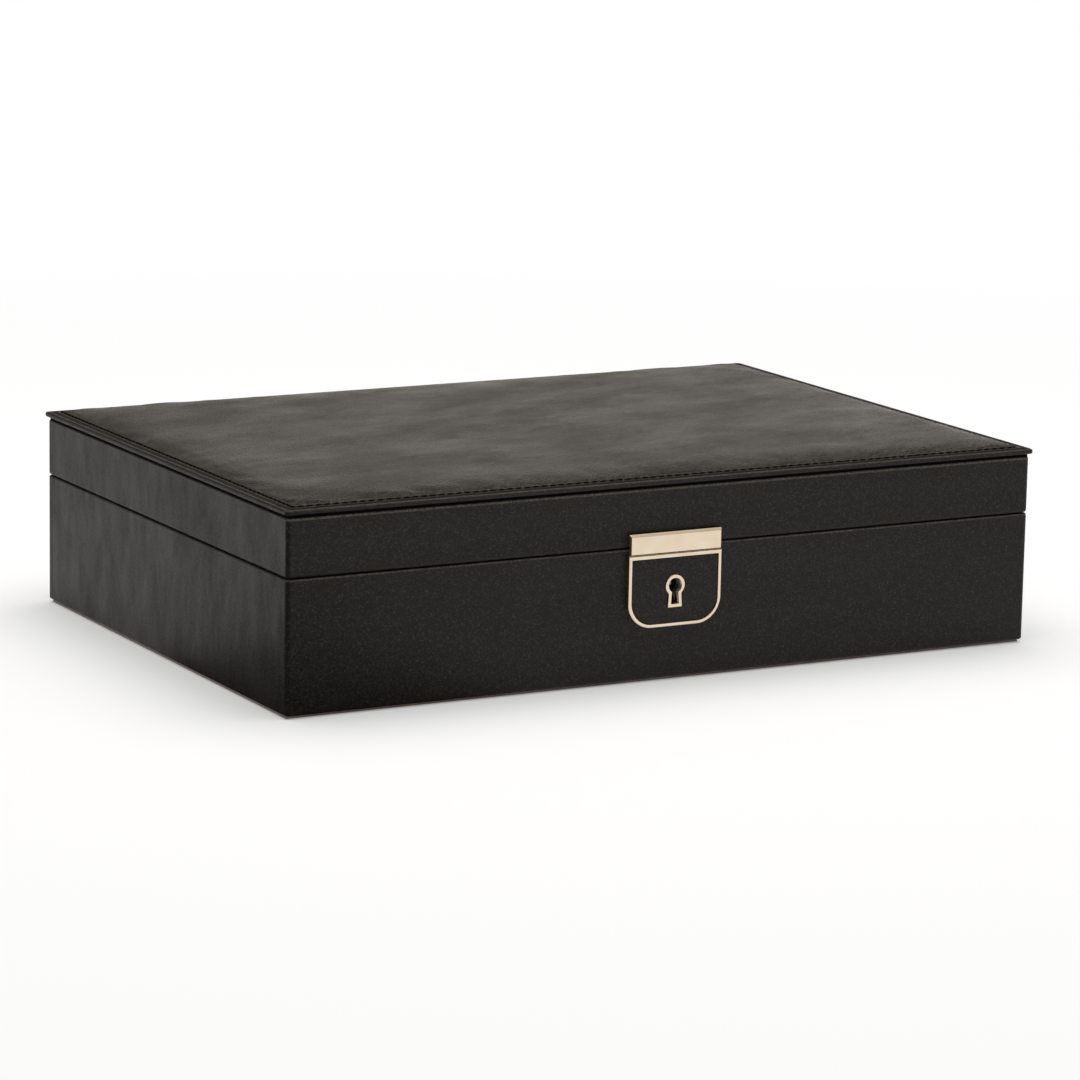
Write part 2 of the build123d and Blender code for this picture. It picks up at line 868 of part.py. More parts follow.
def drawer_knob():
    # Turned knob: a flat base, a thin neck and a flared head with a slightly raised face
    face = knob_length - knob_face_rise
    rim_back = face - knob_rim_length
    profile = make_face(
        Polyline(
            (0, 0),
            (knob_base_radius, 0),
            (knob_base_radius, knob_base_length - knob_base_edge),
            (knob_base_radius - knob_base_edge, knob_base_length),
            (knob_neck_radius, knob_base_length),
            (knob_neck_radius, rim_back - knob_flare_length),
            (knob_radius - knob_rim_edge / 2, rim_back),
            (knob_radius, rim_back + knob_rim_edge / 2),
            (knob_radius, face - knob_rim_edge),
            (knob_radius - knob_rim_edge, face),
            (0, knob_length),
            close=True,
        )
    )
    knob = revolve(Plane.XZ * profile, Axis.Z)
    return Pos(end_face, 0, knob_height()) * Rot(0, 90, 0) * knob + knob_stud()


# ---------------------------------------------------------------- lid

def crowned_field(width, depth, radius, z0, rise, run, steps):
    # Cushion whose sides round off over the run and rise to a nearly flat crown
    sections = []
    for i in range(steps + 1):
        angle = i / steps * math.pi / 2
        inset = run * (1 - math.cos(angle))
        z = z0 + rise * math.sin(angle)
        outline = RectangleRounded(width - 2 * inset, depth - 2 * inset, radius + inset / 2)
        sections.append(Pos(0, 0, z) * outline)
    return loft(sections, ruled=True)


def panel_slab(setback, z0, z1, radius):
    # Board or sheet of the top panel, its corners rounded
    width = case_width + 2 * (lip_overhang - setback)
    depth = case_depth + 2 * (lip_overhang - setback)
    return slab(width, depth, z0, z1, radius)


def lid_leather():
    skin = leather_shell(lid_bottom, lid_top)
    skin -= flange_pocket(lid_bottom - cut_past, lid_bottom + leather)
    for x, z in hasp_pin_places():
        skin -= pillar(x, z, front_face - cut_past, lock_front, hasp_pin_radius + pocket_fit)
    for cut in lid_hinge_pocket():
        skin -= cut
    return skin


def lid_front_wall():
    front = wall_board("front", lid_bottom, lid_top)
    depth = front_face + hasp_pin_length + pocket_fit
    for x, z in hasp_pin_places():
        front -= pillar(x, z, front_face, depth, hasp_pin_radius + pocket_fit)
    for hole in staple_screws(screw_fit):
        front -= hole
    return front


def lid_back_wall():
    back = wall_board("back", lid_bottom, lid_top)
    for cut in lid_hinge_pocket():
        back -= cut
    return back


def lid_top_board():
    return slab(inner_width, inner_depth, lid_top - top_board_thickness, lid_top)


def lid_spacer():
    # Thin card that holds the top panel clear of the walls and makes the shadow line
    width = case_width - 2 * shadow_inset
    depth = case_depth - 2 * shadow_inset
    return slab(width, depth, lid_top, lip_bottom)


def lid_lip_board():
    lip = panel_slab(0, lip_bottom, cover_bottom, panel_corner_radius)
    rims = lip.edges().group_by(Axis.Z)[0] + lip.edges().group_by(Axis.Z)[-1]
    return fillet(rims, lip_board_radius)


def lid_pad_cover():
    # Leather cover: a flat border, a stitch groove and the crowned field inside it
    radius = panel_corner_radius - cover_setback
    cover = panel_slab(cover_setback, cover_bottom, cover_top, radius)
    cover = fillet(cover.edges().group_by(Axis.Z)[-1], cover_edge_radius)
    width = case_width + 2 * (lip_overhang - stitch_inset)
    depth = case_depth + 2 * (lip_overhang - stitch_inset)
    groove_floor = cover_top - stitch_groove_depth
    cover -= slab(width, depth, groove_floor, cover_top + cut_past, panel_corner_radius)
    field = crowned_field(
        width - stitch_groove_width,
        depth - stitch_groove_width,
        panel_corner_radius,
        groove_floor - root_depth,
        crown_rise + stitch_groove_depth + root_depth,
        crown_run,
        crown_steps,
    )
    return cover + field


def lid_cushion():
    # Padded suede panel inside the lid, crowned downwards
    gap = 2 * divider_fit
    top = lid_top - top_board_thickness
    width = tray_width - gap
    depth = tray_depth - gap
    pad = slab(width, depth, top - lid_cushion_thickness, top, lid_cushion_corner)
    field = crowned_field(
        width,
        depth,
        lid_cushion_corner,
        0,
        lid_cushion_crown,
        lid_cushion_run,
        crown_steps,
    )
    return pad + Pos(0, 0, top - lid_cushion_thickness) * Rot(180, 0, 0) * field


def lid_wall_lining():
    return wall_lining(lid_bottom + lining_step, lid_top - top_board_thickness)


# ---------------------------------------------------------------- everything, by name

nodes = {
    "base_pad": base_pad(),
    "case_base_board": slab(inner_width, inner_depth, case_bottom, base_board_top),
    "case_leather": case_leather(),
    "case_front_wall": case_front_wall(),
    "case_back_wall": case_back_wall(),
    "case_left_wall": wall_board("left", case_bottom, case_top),
    "case_right_wall": case_right_wall(),
    "tray_deck": slab(inner_width, inner_depth, deck_height, deck_top),
    "tray_lining": tray_lining(),
    "main_divider": main_divider(),
    "watch_divider": watch_divider(),
    "cushion_rolls": group(cushion_roll(i) for i in range(roll_count)),
    "drawer_guide_near": drawer_guide(-1),
    "drawer_guide_far": drawer_guide(1),
    "drawer_stop": drawer_stop(),
    "lock_plate": lock_plate(),
    "lock_inlay": lock_inlay(),
    "keyhole_escutcheon": keyhole_escutcheon(),
    "lock_case": lock_case(),
    "lock_cover": lock_cover(),
    "key_post": key_post(),
    "lock_spring": lock_spring(),
    "case_screws": group(lock_screws() + case_hinge_screws()),
    "hinge_pins": group(hinge_pin(x) for x in hinge_places()),
    "lock_bolt": lock_bolt(),
    "lid_leather": lid_leather(),
    "lid_front_wall": lid_front_wall(),
    "lid_back_wall": lid_back_wall(),
    "lid_left_wall": wall_board("left", lid_bottom, lid_top),
    "lid_right_wall": wall_board("right", lid_bottom, lid_top),
    "lid_top_board": lid_top_board(),
    "lid_spacer": lid_spacer(),
    "lid_lip_board": lid_lip_board(),
    "lid_pad_cover": lid_pad_cover(),
    "lid_cushion": lid_cushion(),
    "lid_wall_lining": lid_wall_lining(),
    "hasp_bar": hasp_bar(),
    "staple_plate": staple_plate(),
    "staple_eyes": group(staple_eye(x) for x in eye_places()),
    "lid_screws": group(staple_screws() + lid_hinge_screws()),
    "drawer_front": drawer_front(),
    "drawer_front_leather": drawer_front_leather(),
    "drawer_side_near": drawer_side(-1),
    "drawer_side_far": drawer_side(1),
    "drawer_back": drawer_back(),
    "drawer_bottom": drawer_bottom(),
    "drawer_lining": drawer_lining(),
    "drawer_knob": drawer_knob(),
}
for i in range(cell_columns - 1):
    nodes[f"cross_divider_{i + 1}"] = cross_divider(i)
for j in range(cell_rows - 1):
    nodes[f"long_divider_{j + 1}"] = long_divider(j)
for i in range(drawer_divider_count):
    nodes[f"drawer_divider_{i + 1}"] = drawer_divider(i)
for name, x in zip(("left", "right"), hinge_places()):
    nodes[f"case_hinge_leaf_{name}"] = case_leaf(x, 0)
    nodes[f"lid_hinge_leaf_{name}"] = lid_leaf(x, 1)

os.makedirs("parts", exist_ok=True)
for name, shape in nodes.items():
    export_step(shape, f"parts/{name}.step")
print(len(nodes), "parts")
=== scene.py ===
import contextlib
import math

import bmesh
import bpy
from mathutils import Matrix, Vector, noise


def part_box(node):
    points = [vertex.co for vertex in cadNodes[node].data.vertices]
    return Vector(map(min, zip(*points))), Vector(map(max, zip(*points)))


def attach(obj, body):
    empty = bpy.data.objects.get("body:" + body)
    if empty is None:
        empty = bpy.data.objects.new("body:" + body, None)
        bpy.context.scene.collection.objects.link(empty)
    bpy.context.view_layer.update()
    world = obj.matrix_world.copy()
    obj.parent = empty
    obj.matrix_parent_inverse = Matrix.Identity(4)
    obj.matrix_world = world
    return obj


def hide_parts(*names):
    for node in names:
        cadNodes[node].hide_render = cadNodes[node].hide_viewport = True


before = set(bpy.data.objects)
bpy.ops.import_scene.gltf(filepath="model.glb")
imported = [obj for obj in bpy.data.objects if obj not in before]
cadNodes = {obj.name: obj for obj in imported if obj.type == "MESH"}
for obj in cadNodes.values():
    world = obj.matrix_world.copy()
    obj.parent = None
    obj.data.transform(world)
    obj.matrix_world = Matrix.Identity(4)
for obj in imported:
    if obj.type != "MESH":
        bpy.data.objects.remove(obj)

# Leather cufflink box: its looks, built over the CAD frame
mm = 0.001  # Blender's lengths are metres, the settings are millimetres
weld = 1e-6  # points nearer than this are one
scene = bpy.context.scene
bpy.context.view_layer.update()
print("frame loaded:", len(cadNodes), "CAD nodes")


def linear(hexColour):
    # sRGB hex to the linear values that shaders take
    channels = [int(hexColour[i:i + 2], 16) / 255 for i in (1, 3, 5)]
    return tuple(c / 12.92 if c <= 0.04045 else ((c + 0.055) / 1.055) ** 2.4 for c in channels) + (1.0,)


def inMetres(sizes):
    return tuple(size * mm for size in sizes)


def greys(*stops):
    # Ramp stops from (position, brightness) pairs
    return [(position, (value, value, value, 1.0)) for position, value in stops]


def connect(tree, node, links):
    # Feeds each socket from an output, or from the first output of a node
    for socket, source in links.items():
        tree.links.new(source.outputs[0] if hasattr(source, "outputs") else source, node.inputs[socket])


def addNode(tree, kind, values=None, links=None, stops=None, **settings):
    # A node with its settings, its socket values, what feeds its sockets and, on a ramp, its stops
    node = tree.nodes.new(kind)
    for name, value in settings.items():
        setattr(node, name, value)
    for socket, value in (values or {}).items():
        node.inputs[socket].default_value = value
    connect(tree, node, links or {})
    if stops:
        first, last = node.color_ramp.elements
        last.position, last.color = stops[-1]
        first.position, first.color = stops[0]
        for position, colour in stops[1:-1]:
            node.color_ramp.elements.new(position).color = colour
    return node


def startMaterial(name, colour, values):
    # A material, its tree, its shader with its plain values set, and the place on the piece
    material = bpy.data.materials.new(name)
    material.use_nodes = True
    tree = material.node_tree
    shader = tree.nodes["Principled BSDF"]
    shader.inputs["Base Color"].default_value = linear(colour)
    for socket, value in values.items():
        shader.inputs[socket].default_value = value
    return material, tree, shader, addNode(tree, "ShaderNodeTexCoord").outputs["Object"]


def edgeBand(tree, settings, height, fromMiddle):
    # What the edge ramps read: the height as a share of the reach or, where the piece's half sizes are given,
    # the distance inside its edge, from 1 at the edge to 0 at the reach
    share = 1 / (settings["reach"] * mm)
    if "half" not in settings:
        return addNode(tree, "ShaderNodeMath", {1: share}, {0: height}, operation="MULTIPLY")
    outside = [addNode(tree, "ShaderNodeMath", {1: half * mm}, {0: distance}, operation="SUBTRACT")
               for distance, half in zip(fromMiddle, settings["half"])]
    nearest = addNode(tree, "ShaderNodeMath", links={0: outside[0], 1: outside[1]}, operation="MAXIMUM")
    return addNode(tree, "ShaderNodeMath", {1: share, 2: 1.0}, {0: nearest}, operation="MULTIPLY_ADD")


# How far from the middle, in mm, the look of the ends turns into that of the front and back walls
frontStarts = {"streaks": (104.0, 105.6), "wearAndPaintedHighlightFront": (104.6, 105.0)}


def embossedLeather(name, settings):
    # Split leather, dyed black, its pebble grain pressed in by a roller: near black from in front, silvery
    # at a glancing angle, and here and there a pebble catches the light
    material, tree, shader, spot = startMaterial(name, settings["dark"], {
        "IOR": settings["ior"], "Specular Tint": linear(settings["tint"])})
    perPebble = 1 / (settings["pebble"] * mm)
    pebbles = addNode(tree, "ShaderNodeTexVoronoi", {"Scale": perPebble, "Smoothness": 0.35},
                      {"Vector": spot}, feature="SMOOTH_F1")
    cells = addNode(tree, "ShaderNodeTexVoronoi", {"Scale": perPebble}, {"Vector": spot})
    chance = addNode(tree, "ShaderNodeSeparateColor", links={"Color": cells.outputs["Color"]})
    lit = addNode(tree, "ShaderNodeValToRGB", links={"Fac": chance}, stops=greys(*settings["litPebbles"]))
    hide = addNode(tree, "ShaderNodeMapping", {
        "Scale": inMetres(settings["streak"]), "Rotation": (0.0, 0.0, math.radians(settings["turn"]))},
        {"Vector": spot}, vector_type="TEXTURE")
    streaks = addNode(tree, "ShaderNodeTexNoise", {"Scale": 1.0, "Detail": 5.0, "Roughness": 0.6},
                      {"Vector": hide})
    axes = addNode(tree, "ShaderNodeSeparateXYZ", links={"Vector": spot})
    fromMiddle = [addNode(tree, "ShaderNodeMath", links={0: axes.outputs[axis]}, operation="ABSOLUTE")
                  for axis in ("X", "Y")]
    start, end = inMetres(frontStarts["streaks"])
    onEnds = addNode(tree, "ShaderNodeMapRange", {  # streaks fade out on the front and back
        "From Min": start, "From Max": end, "To Min": 1.0, "To Max": settings["frontShare"]},
        {"Value": fromMiddle[1]})
    tone = addNode(tree, "ShaderNodeMapRange", {"From Min": 0.36, "From Max": 0.64}, {"Value": streaks})
    toneHere = addNode(tree, "ShaderNodeMath", links={0: tone, 1: onEnds}, operation="MULTIPLY")
    base = addNode(tree, "ShaderNodeMix", {6: linear(settings["dark"]), 7: linear(settings["light"])},
                   {0: toneHere}, data_type="RGBA")
    grained = addNode(tree, "ShaderNodeMix", {7: linear(settings["speck"])}, {0: lit, 6: base.outputs[2]},
                      data_type="RGBA")
    band = edgeBand(tree, settings["band"], axes.outputs["Z"], fromMiddle)
    # Painted shade: a darker colour and a duller finish in the stitched groove and the hollow beside the bead
    paintedHollowShading = addNode(tree, "ShaderNodeValToRGB", links={"Fac": band}, stops=greys(*settings["paintedHollowShading"]))
    withPaintedHollowShade = addNode(tree, "ShaderNodeMix", {7: linear(settings["paintedHollowShade"])},
                      {0: paintedHollowShading, 6: grained.outputs[2]}, data_type="RGBA")
    # Wear and painted highlight along the turned edges: a lighter colour and a smoother finish, broken into
    # patches
    edges = addNode(tree, "ShaderNodeValToRGB", links={"Fac": band}, stops=greys(*settings["wearAndPaintedHighlightEdges"]))
    start, end = inMetres(frontStarts["wearAndPaintedHighlightFront"])
    onFront = addNode(tree, "ShaderNodeMapRange", {  # wear and painted highlight are strongest along the front and back edges
        "From Min": start, "From Max": end, "To Min": settings["endsWearAndPaintedHighlight"], "To Max": 1.0},
        {"Value": fromMiddle[1]})
    patches = addNode(tree, "ShaderNodeMapRange", {"From Min": 0.2, "From Max": 0.9, "To Min": 0.3},
                      {"Value": chance.outputs["Green"]})
    wearAndPaintedHighlightAlong = addNode(tree, "ShaderNodeMath", links={0: edges, 1: onFront}, operation="MULTIPLY")
    wearAndPaintedHighlightMask = addNode(tree, "ShaderNodeMath", links={0: wearAndPaintedHighlightAlong, 1: patches}, operation="MULTIPLY")
    colour = addNode(tree, "ShaderNodeMix", {7: linear(settings["wearAndPaintedHighlight"])}, {0: wearAndPaintedHighlightMask, 6: withPaintedHollowShade.outputs[2]},
                     data_type="RGBA")
    uneven = addNode(tree, "ShaderNodeMapRange", {
        "From Min": 0.3, "From Max": 0.7, "To Min": settings["roughness"] + 0.07,
        "To Max": settings["roughness"] - 0.07}, {"Value": streaks})
    dull = addNode(tree, "ShaderNodeMix", {3: settings["hollowRoughness"]}, {0: paintedHollowShading, 2: uneven})
    gloss = addNode(tree, "ShaderNodeMix", {3: settings["wearAndHighlightRoughness"]}, {0: wearAndPaintedHighlightMask, 2: dull})
    lumps = addNode(tree, "ShaderNodeBump", {"Distance": settings["lumps"] * mm}, {"Height": streaks})
    grain = addNode(tree, "ShaderNodeBump", {"Distance": -settings["pebbleDepth"] * mm},
                    {"Height": pebbles, "Normal": lumps})
    connect(tree, shader, {"Base Color": colour.outputs[2], "Roughness": gloss, "Normal": grain})
    return material


wallLeather = embossedLeather("embossedBlackLeather", {
    "dark": "#12110f", "light": "#1e1c1a", "speck": "#373533", "tint": "#fff6ec",
    "ior": 1.36, "roughness": 0.5,
    "pebble": 0.42,  # embossed pebbles less than half a millimetre wide
    "pebbleDepth": 0.05, "litPebbles": [(0.3, 0.0), (0.85, 0.3), (1.0, 0.85)],
    "streak": (250.0, 8.0, 22.0), "turn": 0.0,  # rolled along the hide, so the streaks stand on the ends
    "frontShare": 0.12, "lumps": 0.14,
    "band": {"reach": 100.0},  # painted hollow shade, and the edges' wear and painted highlight, go by height, as a share of 100 mm
    "paintedHollowShade": "#060505", "paintedHollowShading": [(0.0, 0.0), (1.0, 0.0)], "hollowRoughness": 0.8,  # no painted shade on flat walls
    "wearAndPaintedHighlight": "#787166", "endsWearAndPaintedHighlight": 0.2, "wearAndHighlightRoughness": 0.35,
    "wearAndPaintedHighlightEdges": [  # wear and painted highlight where the leather turns over: case rim, lid rim, upper edge of the panel
        (0.4845, 0.0), (0.4865, 0.75), (0.4895, 0.65), (0.491, 0.0),
        (0.698, 0.0), (0.7, 0.9), (0.704, 0.9), (0.7065, 0.0),
        (0.7295, 0.0), (0.7325, 0.3), (0.7345, 0.3), (0.7355, 0.1)],
})
topLeather = embossedLeather("paddedBlackLeather", {
    "dark": "#151311", "light": "#24201d", "speck": "#3e3b37", "tint": "#fff4e8",
    "ior": 1.52, "roughness": 0.38,
    "pebble": 0.8,  # the same grain, drawn wider over the foam
    "pebbleDepth": 0.24, "litPebbles": [(0.3, 0.0), (0.8, 0.45), (1.0, 1.0)],
    "streak": (34.0, 18.0, 30.0), "turn": 14.0,  # soft clouds where the hide was stretched
    "frontShare": 1.0, "lumps": 0.27,
    "band": {"reach": 20.0, "half": (153.07, 106.82)},  # they go by the distance inside the cover's edge
    "paintedHollowShade": "#0a0908",  # painted shade under the stitches and in the hollow beside the bead
    "paintedHollowShading": [(0.77, 0.0), (0.776, 1.0), (0.792, 1.0), (0.802, 0.0),
                (0.845, 0.0), (0.86, 0.9), (0.945, 0.9), (0.965, 0.0)],
    "hollowRoughness": 0.7, "wearAndPaintedHighlight": "#4a463f", "endsWearAndPaintedHighlight": 1.0, "wearAndHighlightRoughness": 0.35,
    "wearAndPaintedHighlightEdges": [  # wear and painted highlight on the leather drawn up between the stitches, the bead, the folded edge
        (0.738, 0.0), (0.75, 0.75), (0.766, 0.75), (0.772, 0.0),
        (0.8, 0.0), (0.815, 0.4), (0.83, 0.4), (0.845, 0.0), (0.945, 0.0), (0.96, 0.3)],
})


def nappedSuede(name, settings):
    # Microfibre suede: no shine but a sheen at the edges, and a nap that lies in cloudy patches
    material, tree, shader, spot = startMaterial(name, settings["dark"], {
        "Roughness": 0.95, "Specular IOR Level": 0.1, "Sheen Weight": 0.35, "Sheen Roughness": 0.5})
    nap = addNode(tree, "ShaderNodeTexNoise", {"Scale": 1 / (settings["patch"] * mm), "Detail": 4.0,
                  "Roughness": 0.65}, {"Vector": spot})
    fibres = addNode(tree, "ShaderNodeTexNoise", {"Scale": 1 / (settings["fibre"] * mm), "Roughness": 0.7},
                     {"Vector": spot})
    base = addNode(tree, "ShaderNodeValToRGB", links={"Fac": nap},
                   stops=[(0.35, linear(settings["dark"])), (0.65, linear(settings["light"]))])
    tips = addNode(tree, "ShaderNodeValToRGB", links={"Fac": fibres}, stops=greys((0.45, 0.0), (0.7, 0.35)))
    colour = addNode(tree, "ShaderNodeMix", {7: linear(settings["tip"])}, {0: tips, 6: base},
                     data_type="RGBA")
    pile = addNode(tree, "ShaderNodeBump", {"Strength": 0.8, "Distance": settings["depth"] * mm},
                   {"Height": fibres})
    connect(tree, shader, {"Base Color": colour.outputs[2], "Normal": pile})
    return material


liningSuede = nappedSuede("taupeMicrofibreSuede", {
    "dark": "#70635a", "light": "#82746a", "tip": "#a09287",
    "patch": 14.0, "fibre": 0.35,  # tufts of a third of a millimetre
    "depth": 0.12,
})
# Painted light: the backing suede is made lighter than the lining, standing in for bounce light on the pad's
# edge in the floor's shadow
padSuedePaintedLighter = nappedSuede("taupeBackingSuedePaintedLighter", {
    "dark": "#8d7c70", "light": "#a39183", "tip": "#c2b3a6", "patch": 9.0, "fibre": 0.5, "depth": 0.15,
})


def plating(name, settings):
    # Plated metal: it mirrors the studio, blurred by hair-fine marks from the buffing wheel
    material, tree, shader, spot = startMaterial(name, settings["colour"], {"Metallic": 1.0})
    wheel = addNode(tree, "ShaderNodeMapping", {"Scale": inMetres(settings["marks"])}, {"Vector": spot},
                    vector_type="TEXTURE")
    marks = addNode(tree, "ShaderNodeTexNoise", {"Scale": 1.0, "Detail": 3.0, "Roughness": 0.6},
                    {"Vector": wheel})
    clouds = addNode(tree, "ShaderNodeTexNoise", {"Scale": 1 / (settings["clouds"] * mm)}, {"Vector": spot})
    tint = addNode(tree, "ShaderNodeValToRGB", links={"Fac": clouds},
                   stops=[(0.3, linear(settings["colour"])), (0.7, linear(settings["deep"]))])
    blur = addNode(tree, "ShaderNodeMapRange", {
        "From Min": 0.3, "From Max": 0.7, "To Min": settings["smooth"], "To Max": settings["rough"]},
        {"Value": marks})
    scratches = addNode(tree, "ShaderNodeBump", {"Strength": 0.6, "Distance": settings["depth"] * mm},
                        {"Height": marks})
    connect(tree, shader, {"Base Color": tint, "Roughness": blur, "Normal": scratches})
    return material


gold = plating("polishedPaleGoldPlating", {
    "colour": "#e6d7c0", "deep": "#dfcdb2",
    "marks": (14.0, 0.5, 0.18),  # buffed along X: marks 14 mm long and a fifth of a millimetre apart
    "clouds": 9.0, "smooth": 0.09, "rough": 0.19, "depth": 0.003,
})
steel = plating("zincPlatedSheetSteel", {
    "colour": "#b9bbbd", "deep": "#a2a5a8", "marks": (0.4, 0.4, 0.4), "clouds": 3.0,
    "smooth": 0.3, "rough": 0.5, "depth": 0.01,
})


def pressedBoard(name, settings):
    # Pressed fibres, matt, the longer ones darker
    material, tree, shader, spot = startMaterial(name, settings["dark"], {
        "Roughness": 0.9, "Specular IOR Level": settings["shine"]})
    lay = addNode(tree, "ShaderNodeMapping", {"Scale": inMetres(settings["fibre"])}, {"Vector": spot},
                  vector_type="TEXTURE")
    fibres = addNode(tree, "ShaderNodeTexNoise", {"Scale": 1.0, "Detail": 4.0, "Roughness": 0.7},
                     {"Vector": lay})
    tone = addNode(tree, "ShaderNodeValToRGB", links={"Fac": fibres},
                   stops=[(0.3, linear(settings["dark"])), (0.7, linear(settings["light"]))])
    fuzz = addNode(tree, "ShaderNodeBump", {"Strength": 0.5, "Distance": 0.05 * mm}, {"Height": fibres})
    connect(tree, shader, {"Base Color": tone, "Normal": fuzz})
    return material


fibreboard = pressedBoard("sandedFibreboard", {
    "dark": "#8f7452", "light": "#b3966d", "fibre": (1.6, 0.5, 0.5), "shine": 0.3})
card = pressedBoard("blackDyedCard", {
    "dark": "#050505", "light": "#0b0a0a", "fibre": (0.8, 0.8, 0.3), "shine": 0.08})


def lacqueredWood(name, settings):
    # Steamed beech under a satin lacquer: pale, with short darker flecks along the grain
    material, tree, shader, spot = startMaterial(name, settings["light"], {
        "Roughness": 0.38, "Coat Weight": 0.2})
    sawn = addNode(tree, "ShaderNodeMapping", {"Scale": inMetres(settings["grain"])}, {"Vector": spot},
                   vector_type="TEXTURE")
    figure = addNode(tree, "ShaderNodeTexNoise", {"Scale": 1.0, "Detail": 5.0, "Roughness": 0.6},
                     {"Vector": sawn})
    short = addNode(tree, "ShaderNodeMapping", {"Scale": inMetres(settings["fleck"])}, {"Vector": spot},
                    vector_type="TEXTURE")
    flecks = addNode(tree, "ShaderNodeTexNoise", {"Scale": 1.0, "Roughness": 0.4}, {"Vector": short})
    base = addNode(tree, "ShaderNodeValToRGB", links={"Fac": figure},
                   stops=[(0.3, linear(settings["dark"])), (0.7, linear(settings["light"]))])
    dots = addNode(tree, "ShaderNodeValToRGB", links={"Fac": flecks}, stops=greys((0.62, 0.0), (0.7, 0.7)))
    colour = addNode(tree, "ShaderNodeMix", {7: linear(settings["fleckColour"])}, {0: dots, 6: base},
                     data_type="RGBA")
    pores = addNode(tree, "ShaderNodeBump", {"Strength": 0.5, "Distance": 0.02 * mm}, {"Height": flecks})
    connect(tree, shader, {"Base Color": colour.outputs[2], "Normal": pores})
    return material


beech = lacqueredWood("lacqueredBeech", {
    "dark": "#a98358", "light": "#c49d70", "fleckColour": "#8a6238",
    "grain": (40.0, 3.0, 3.0), "fleck": (2.4, 0.35, 0.35),  # flecks 2 mm long and a third wide
})


def waxedThread(name, settings):
    # Bonded nylon thread, black, lightly waxed: its twist shows as fine slanted ridges
    material, tree, shader, spot = startMaterial(name, settings["colour"], {
        "Roughness": 0.55, "Specular IOR Level": 0.15})
    twist = addNode(tree, "ShaderNodeTexWave", {"Scale": 1 / (settings["ply"] * mm), "Distortion": 0.4},
                    {"Vector": spot}, wave_type="BANDS", bands_direction="DIAGONAL")
    plies = addNode(tree, "ShaderNodeValToRGB", links={"Fac": twist.outputs["Fac"]},
                    stops=[(0.2, linear(settings["colour"])), (0.8, linear(settings["light"]))])
    ridges = addNode(tree, "ShaderNodeBump", {"Strength": 0.6, "Distance": 0.05 * mm},
                     {"Height": twist.outputs["Fac"]})
    connect(tree, shader, {"Base Color": plies, "Normal": ridges})
    return material


thread = waxedThread("waxedBlackThread", {"colour": "#050505", "light": "#0c0b0b", "ply": 0.35})
print("materials made:", len(bpy.data.materials))


def newPiece(name, mesh, material):
    piece = bpy.data.objects.new(name, mesh)
    scene.collection.objects.link(piece)
    mesh.materials.clear()
    mesh.materials.append(material)
    return piece


def fitTo(piece, body, replaced=()):
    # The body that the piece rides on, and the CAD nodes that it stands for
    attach(piece, body)
    if replaced:
        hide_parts(*replaced)
    return piece


@contextlib.contextmanager
def editing(mesh):
    # The mesh opened for editing, and written back afterwards
    bm = bmesh.new()
    bm.from_mesh(mesh)
    yield bm
    bm.to_mesh(mesh)
    bm.free()


def smoothBelow(mesh, degrees):
    # Smooth shading, with an edge kept sharp where the faces meet at more than this
    with editing(mesh) as bm:
        for face in bm.faces:
            face.smooth = True
        for edge in bm.edges:
            edge.smooth = len(edge.link_faces) == 2 and edge.calc_face_angle(0.0) < math.radians(degrees)


easing = {  # angles in degrees
    "flat": 0.3,  # faces that meet at less are joined
    "smooth": 28,  # those that meet at less are shaded smooth
    "sharp": 32,  # the edges of those that meet at more are eased
    "segments": 2, "largeFaces": 80,  # how much large faces lead in the shading, 50 being evenly
}


def eased(name, names, body, material, edge):
    # One piece from rigid CAD nodes of a body: doubles merged, flat faces joined, sharp edges eased
    mesh = bpy.data.meshes.new(name)
    with editing(mesh) as bm:
        for node in names:  # doubles are merged within a node only, so that boards stay separate
            others = set(bm.verts)
            bm.from_mesh(cadNodes[node].data)
            bmesh.ops.remove_doubles(bm, verts=[v for v in bm.verts if v not in others], dist=weld)
        bmesh.ops.dissolve_limit(bm, angle_limit=math.radians(easing["flat"]), verts=bm.verts, edges=bm.edges)
    smoothBelow(mesh, easing["smooth"])
    piece = newPiece(name, mesh, material)
    bevel = piece.modifiers.new("easedEdges", "BEVEL")
    bevel.width = edge * mm
    bevel.segments = easing["segments"]
    bevel.limit_method = "ANGLE"
    bevel.angle_limit = math.radians(easing["sharp"])
    bevel.use_clamp_overlap = True
    bevel.miter_outer = "MITER_ARC"
    weighted = piece.modifiers.new("flatFaces", "WEIGHTED_NORMAL")
    weighted.keep_sharp = False
    weighted.weight = easing["largeFaces"]
    return fitTo(piece, body, names)


def meshFrom(name, points, faces):
    mesh = bpy.data.meshes.new(name)
    mesh.from_pydata([tuple(p) for p in points], [], faces)
    mesh.validate()
    return mesh


def mergeDoubles(bm):
    bmesh.ops.remove_doubles(bm, verts=bm.verts, dist=weld)
    bmesh.ops.dissolve_degenerate(bm, edges=bm.edges, dist=weld / 10)


def faceOutwards(bm):
    # Faces turned outwards and shaded smooth
    bmesh.ops.recalc_face_normals(bm, faces=bm.faces)
    for face in bm.faces:
        face.smooth = True


def plainMesh(piece, name):
    # The piece as its modifiers leave it, as a mesh of its own
    graph = bpy.context.evaluated_depsgraph_get()
    mesh = bpy.data.meshes.new_from_object(piece.evaluated_get(graph))
    mesh.name = name
    return mesh


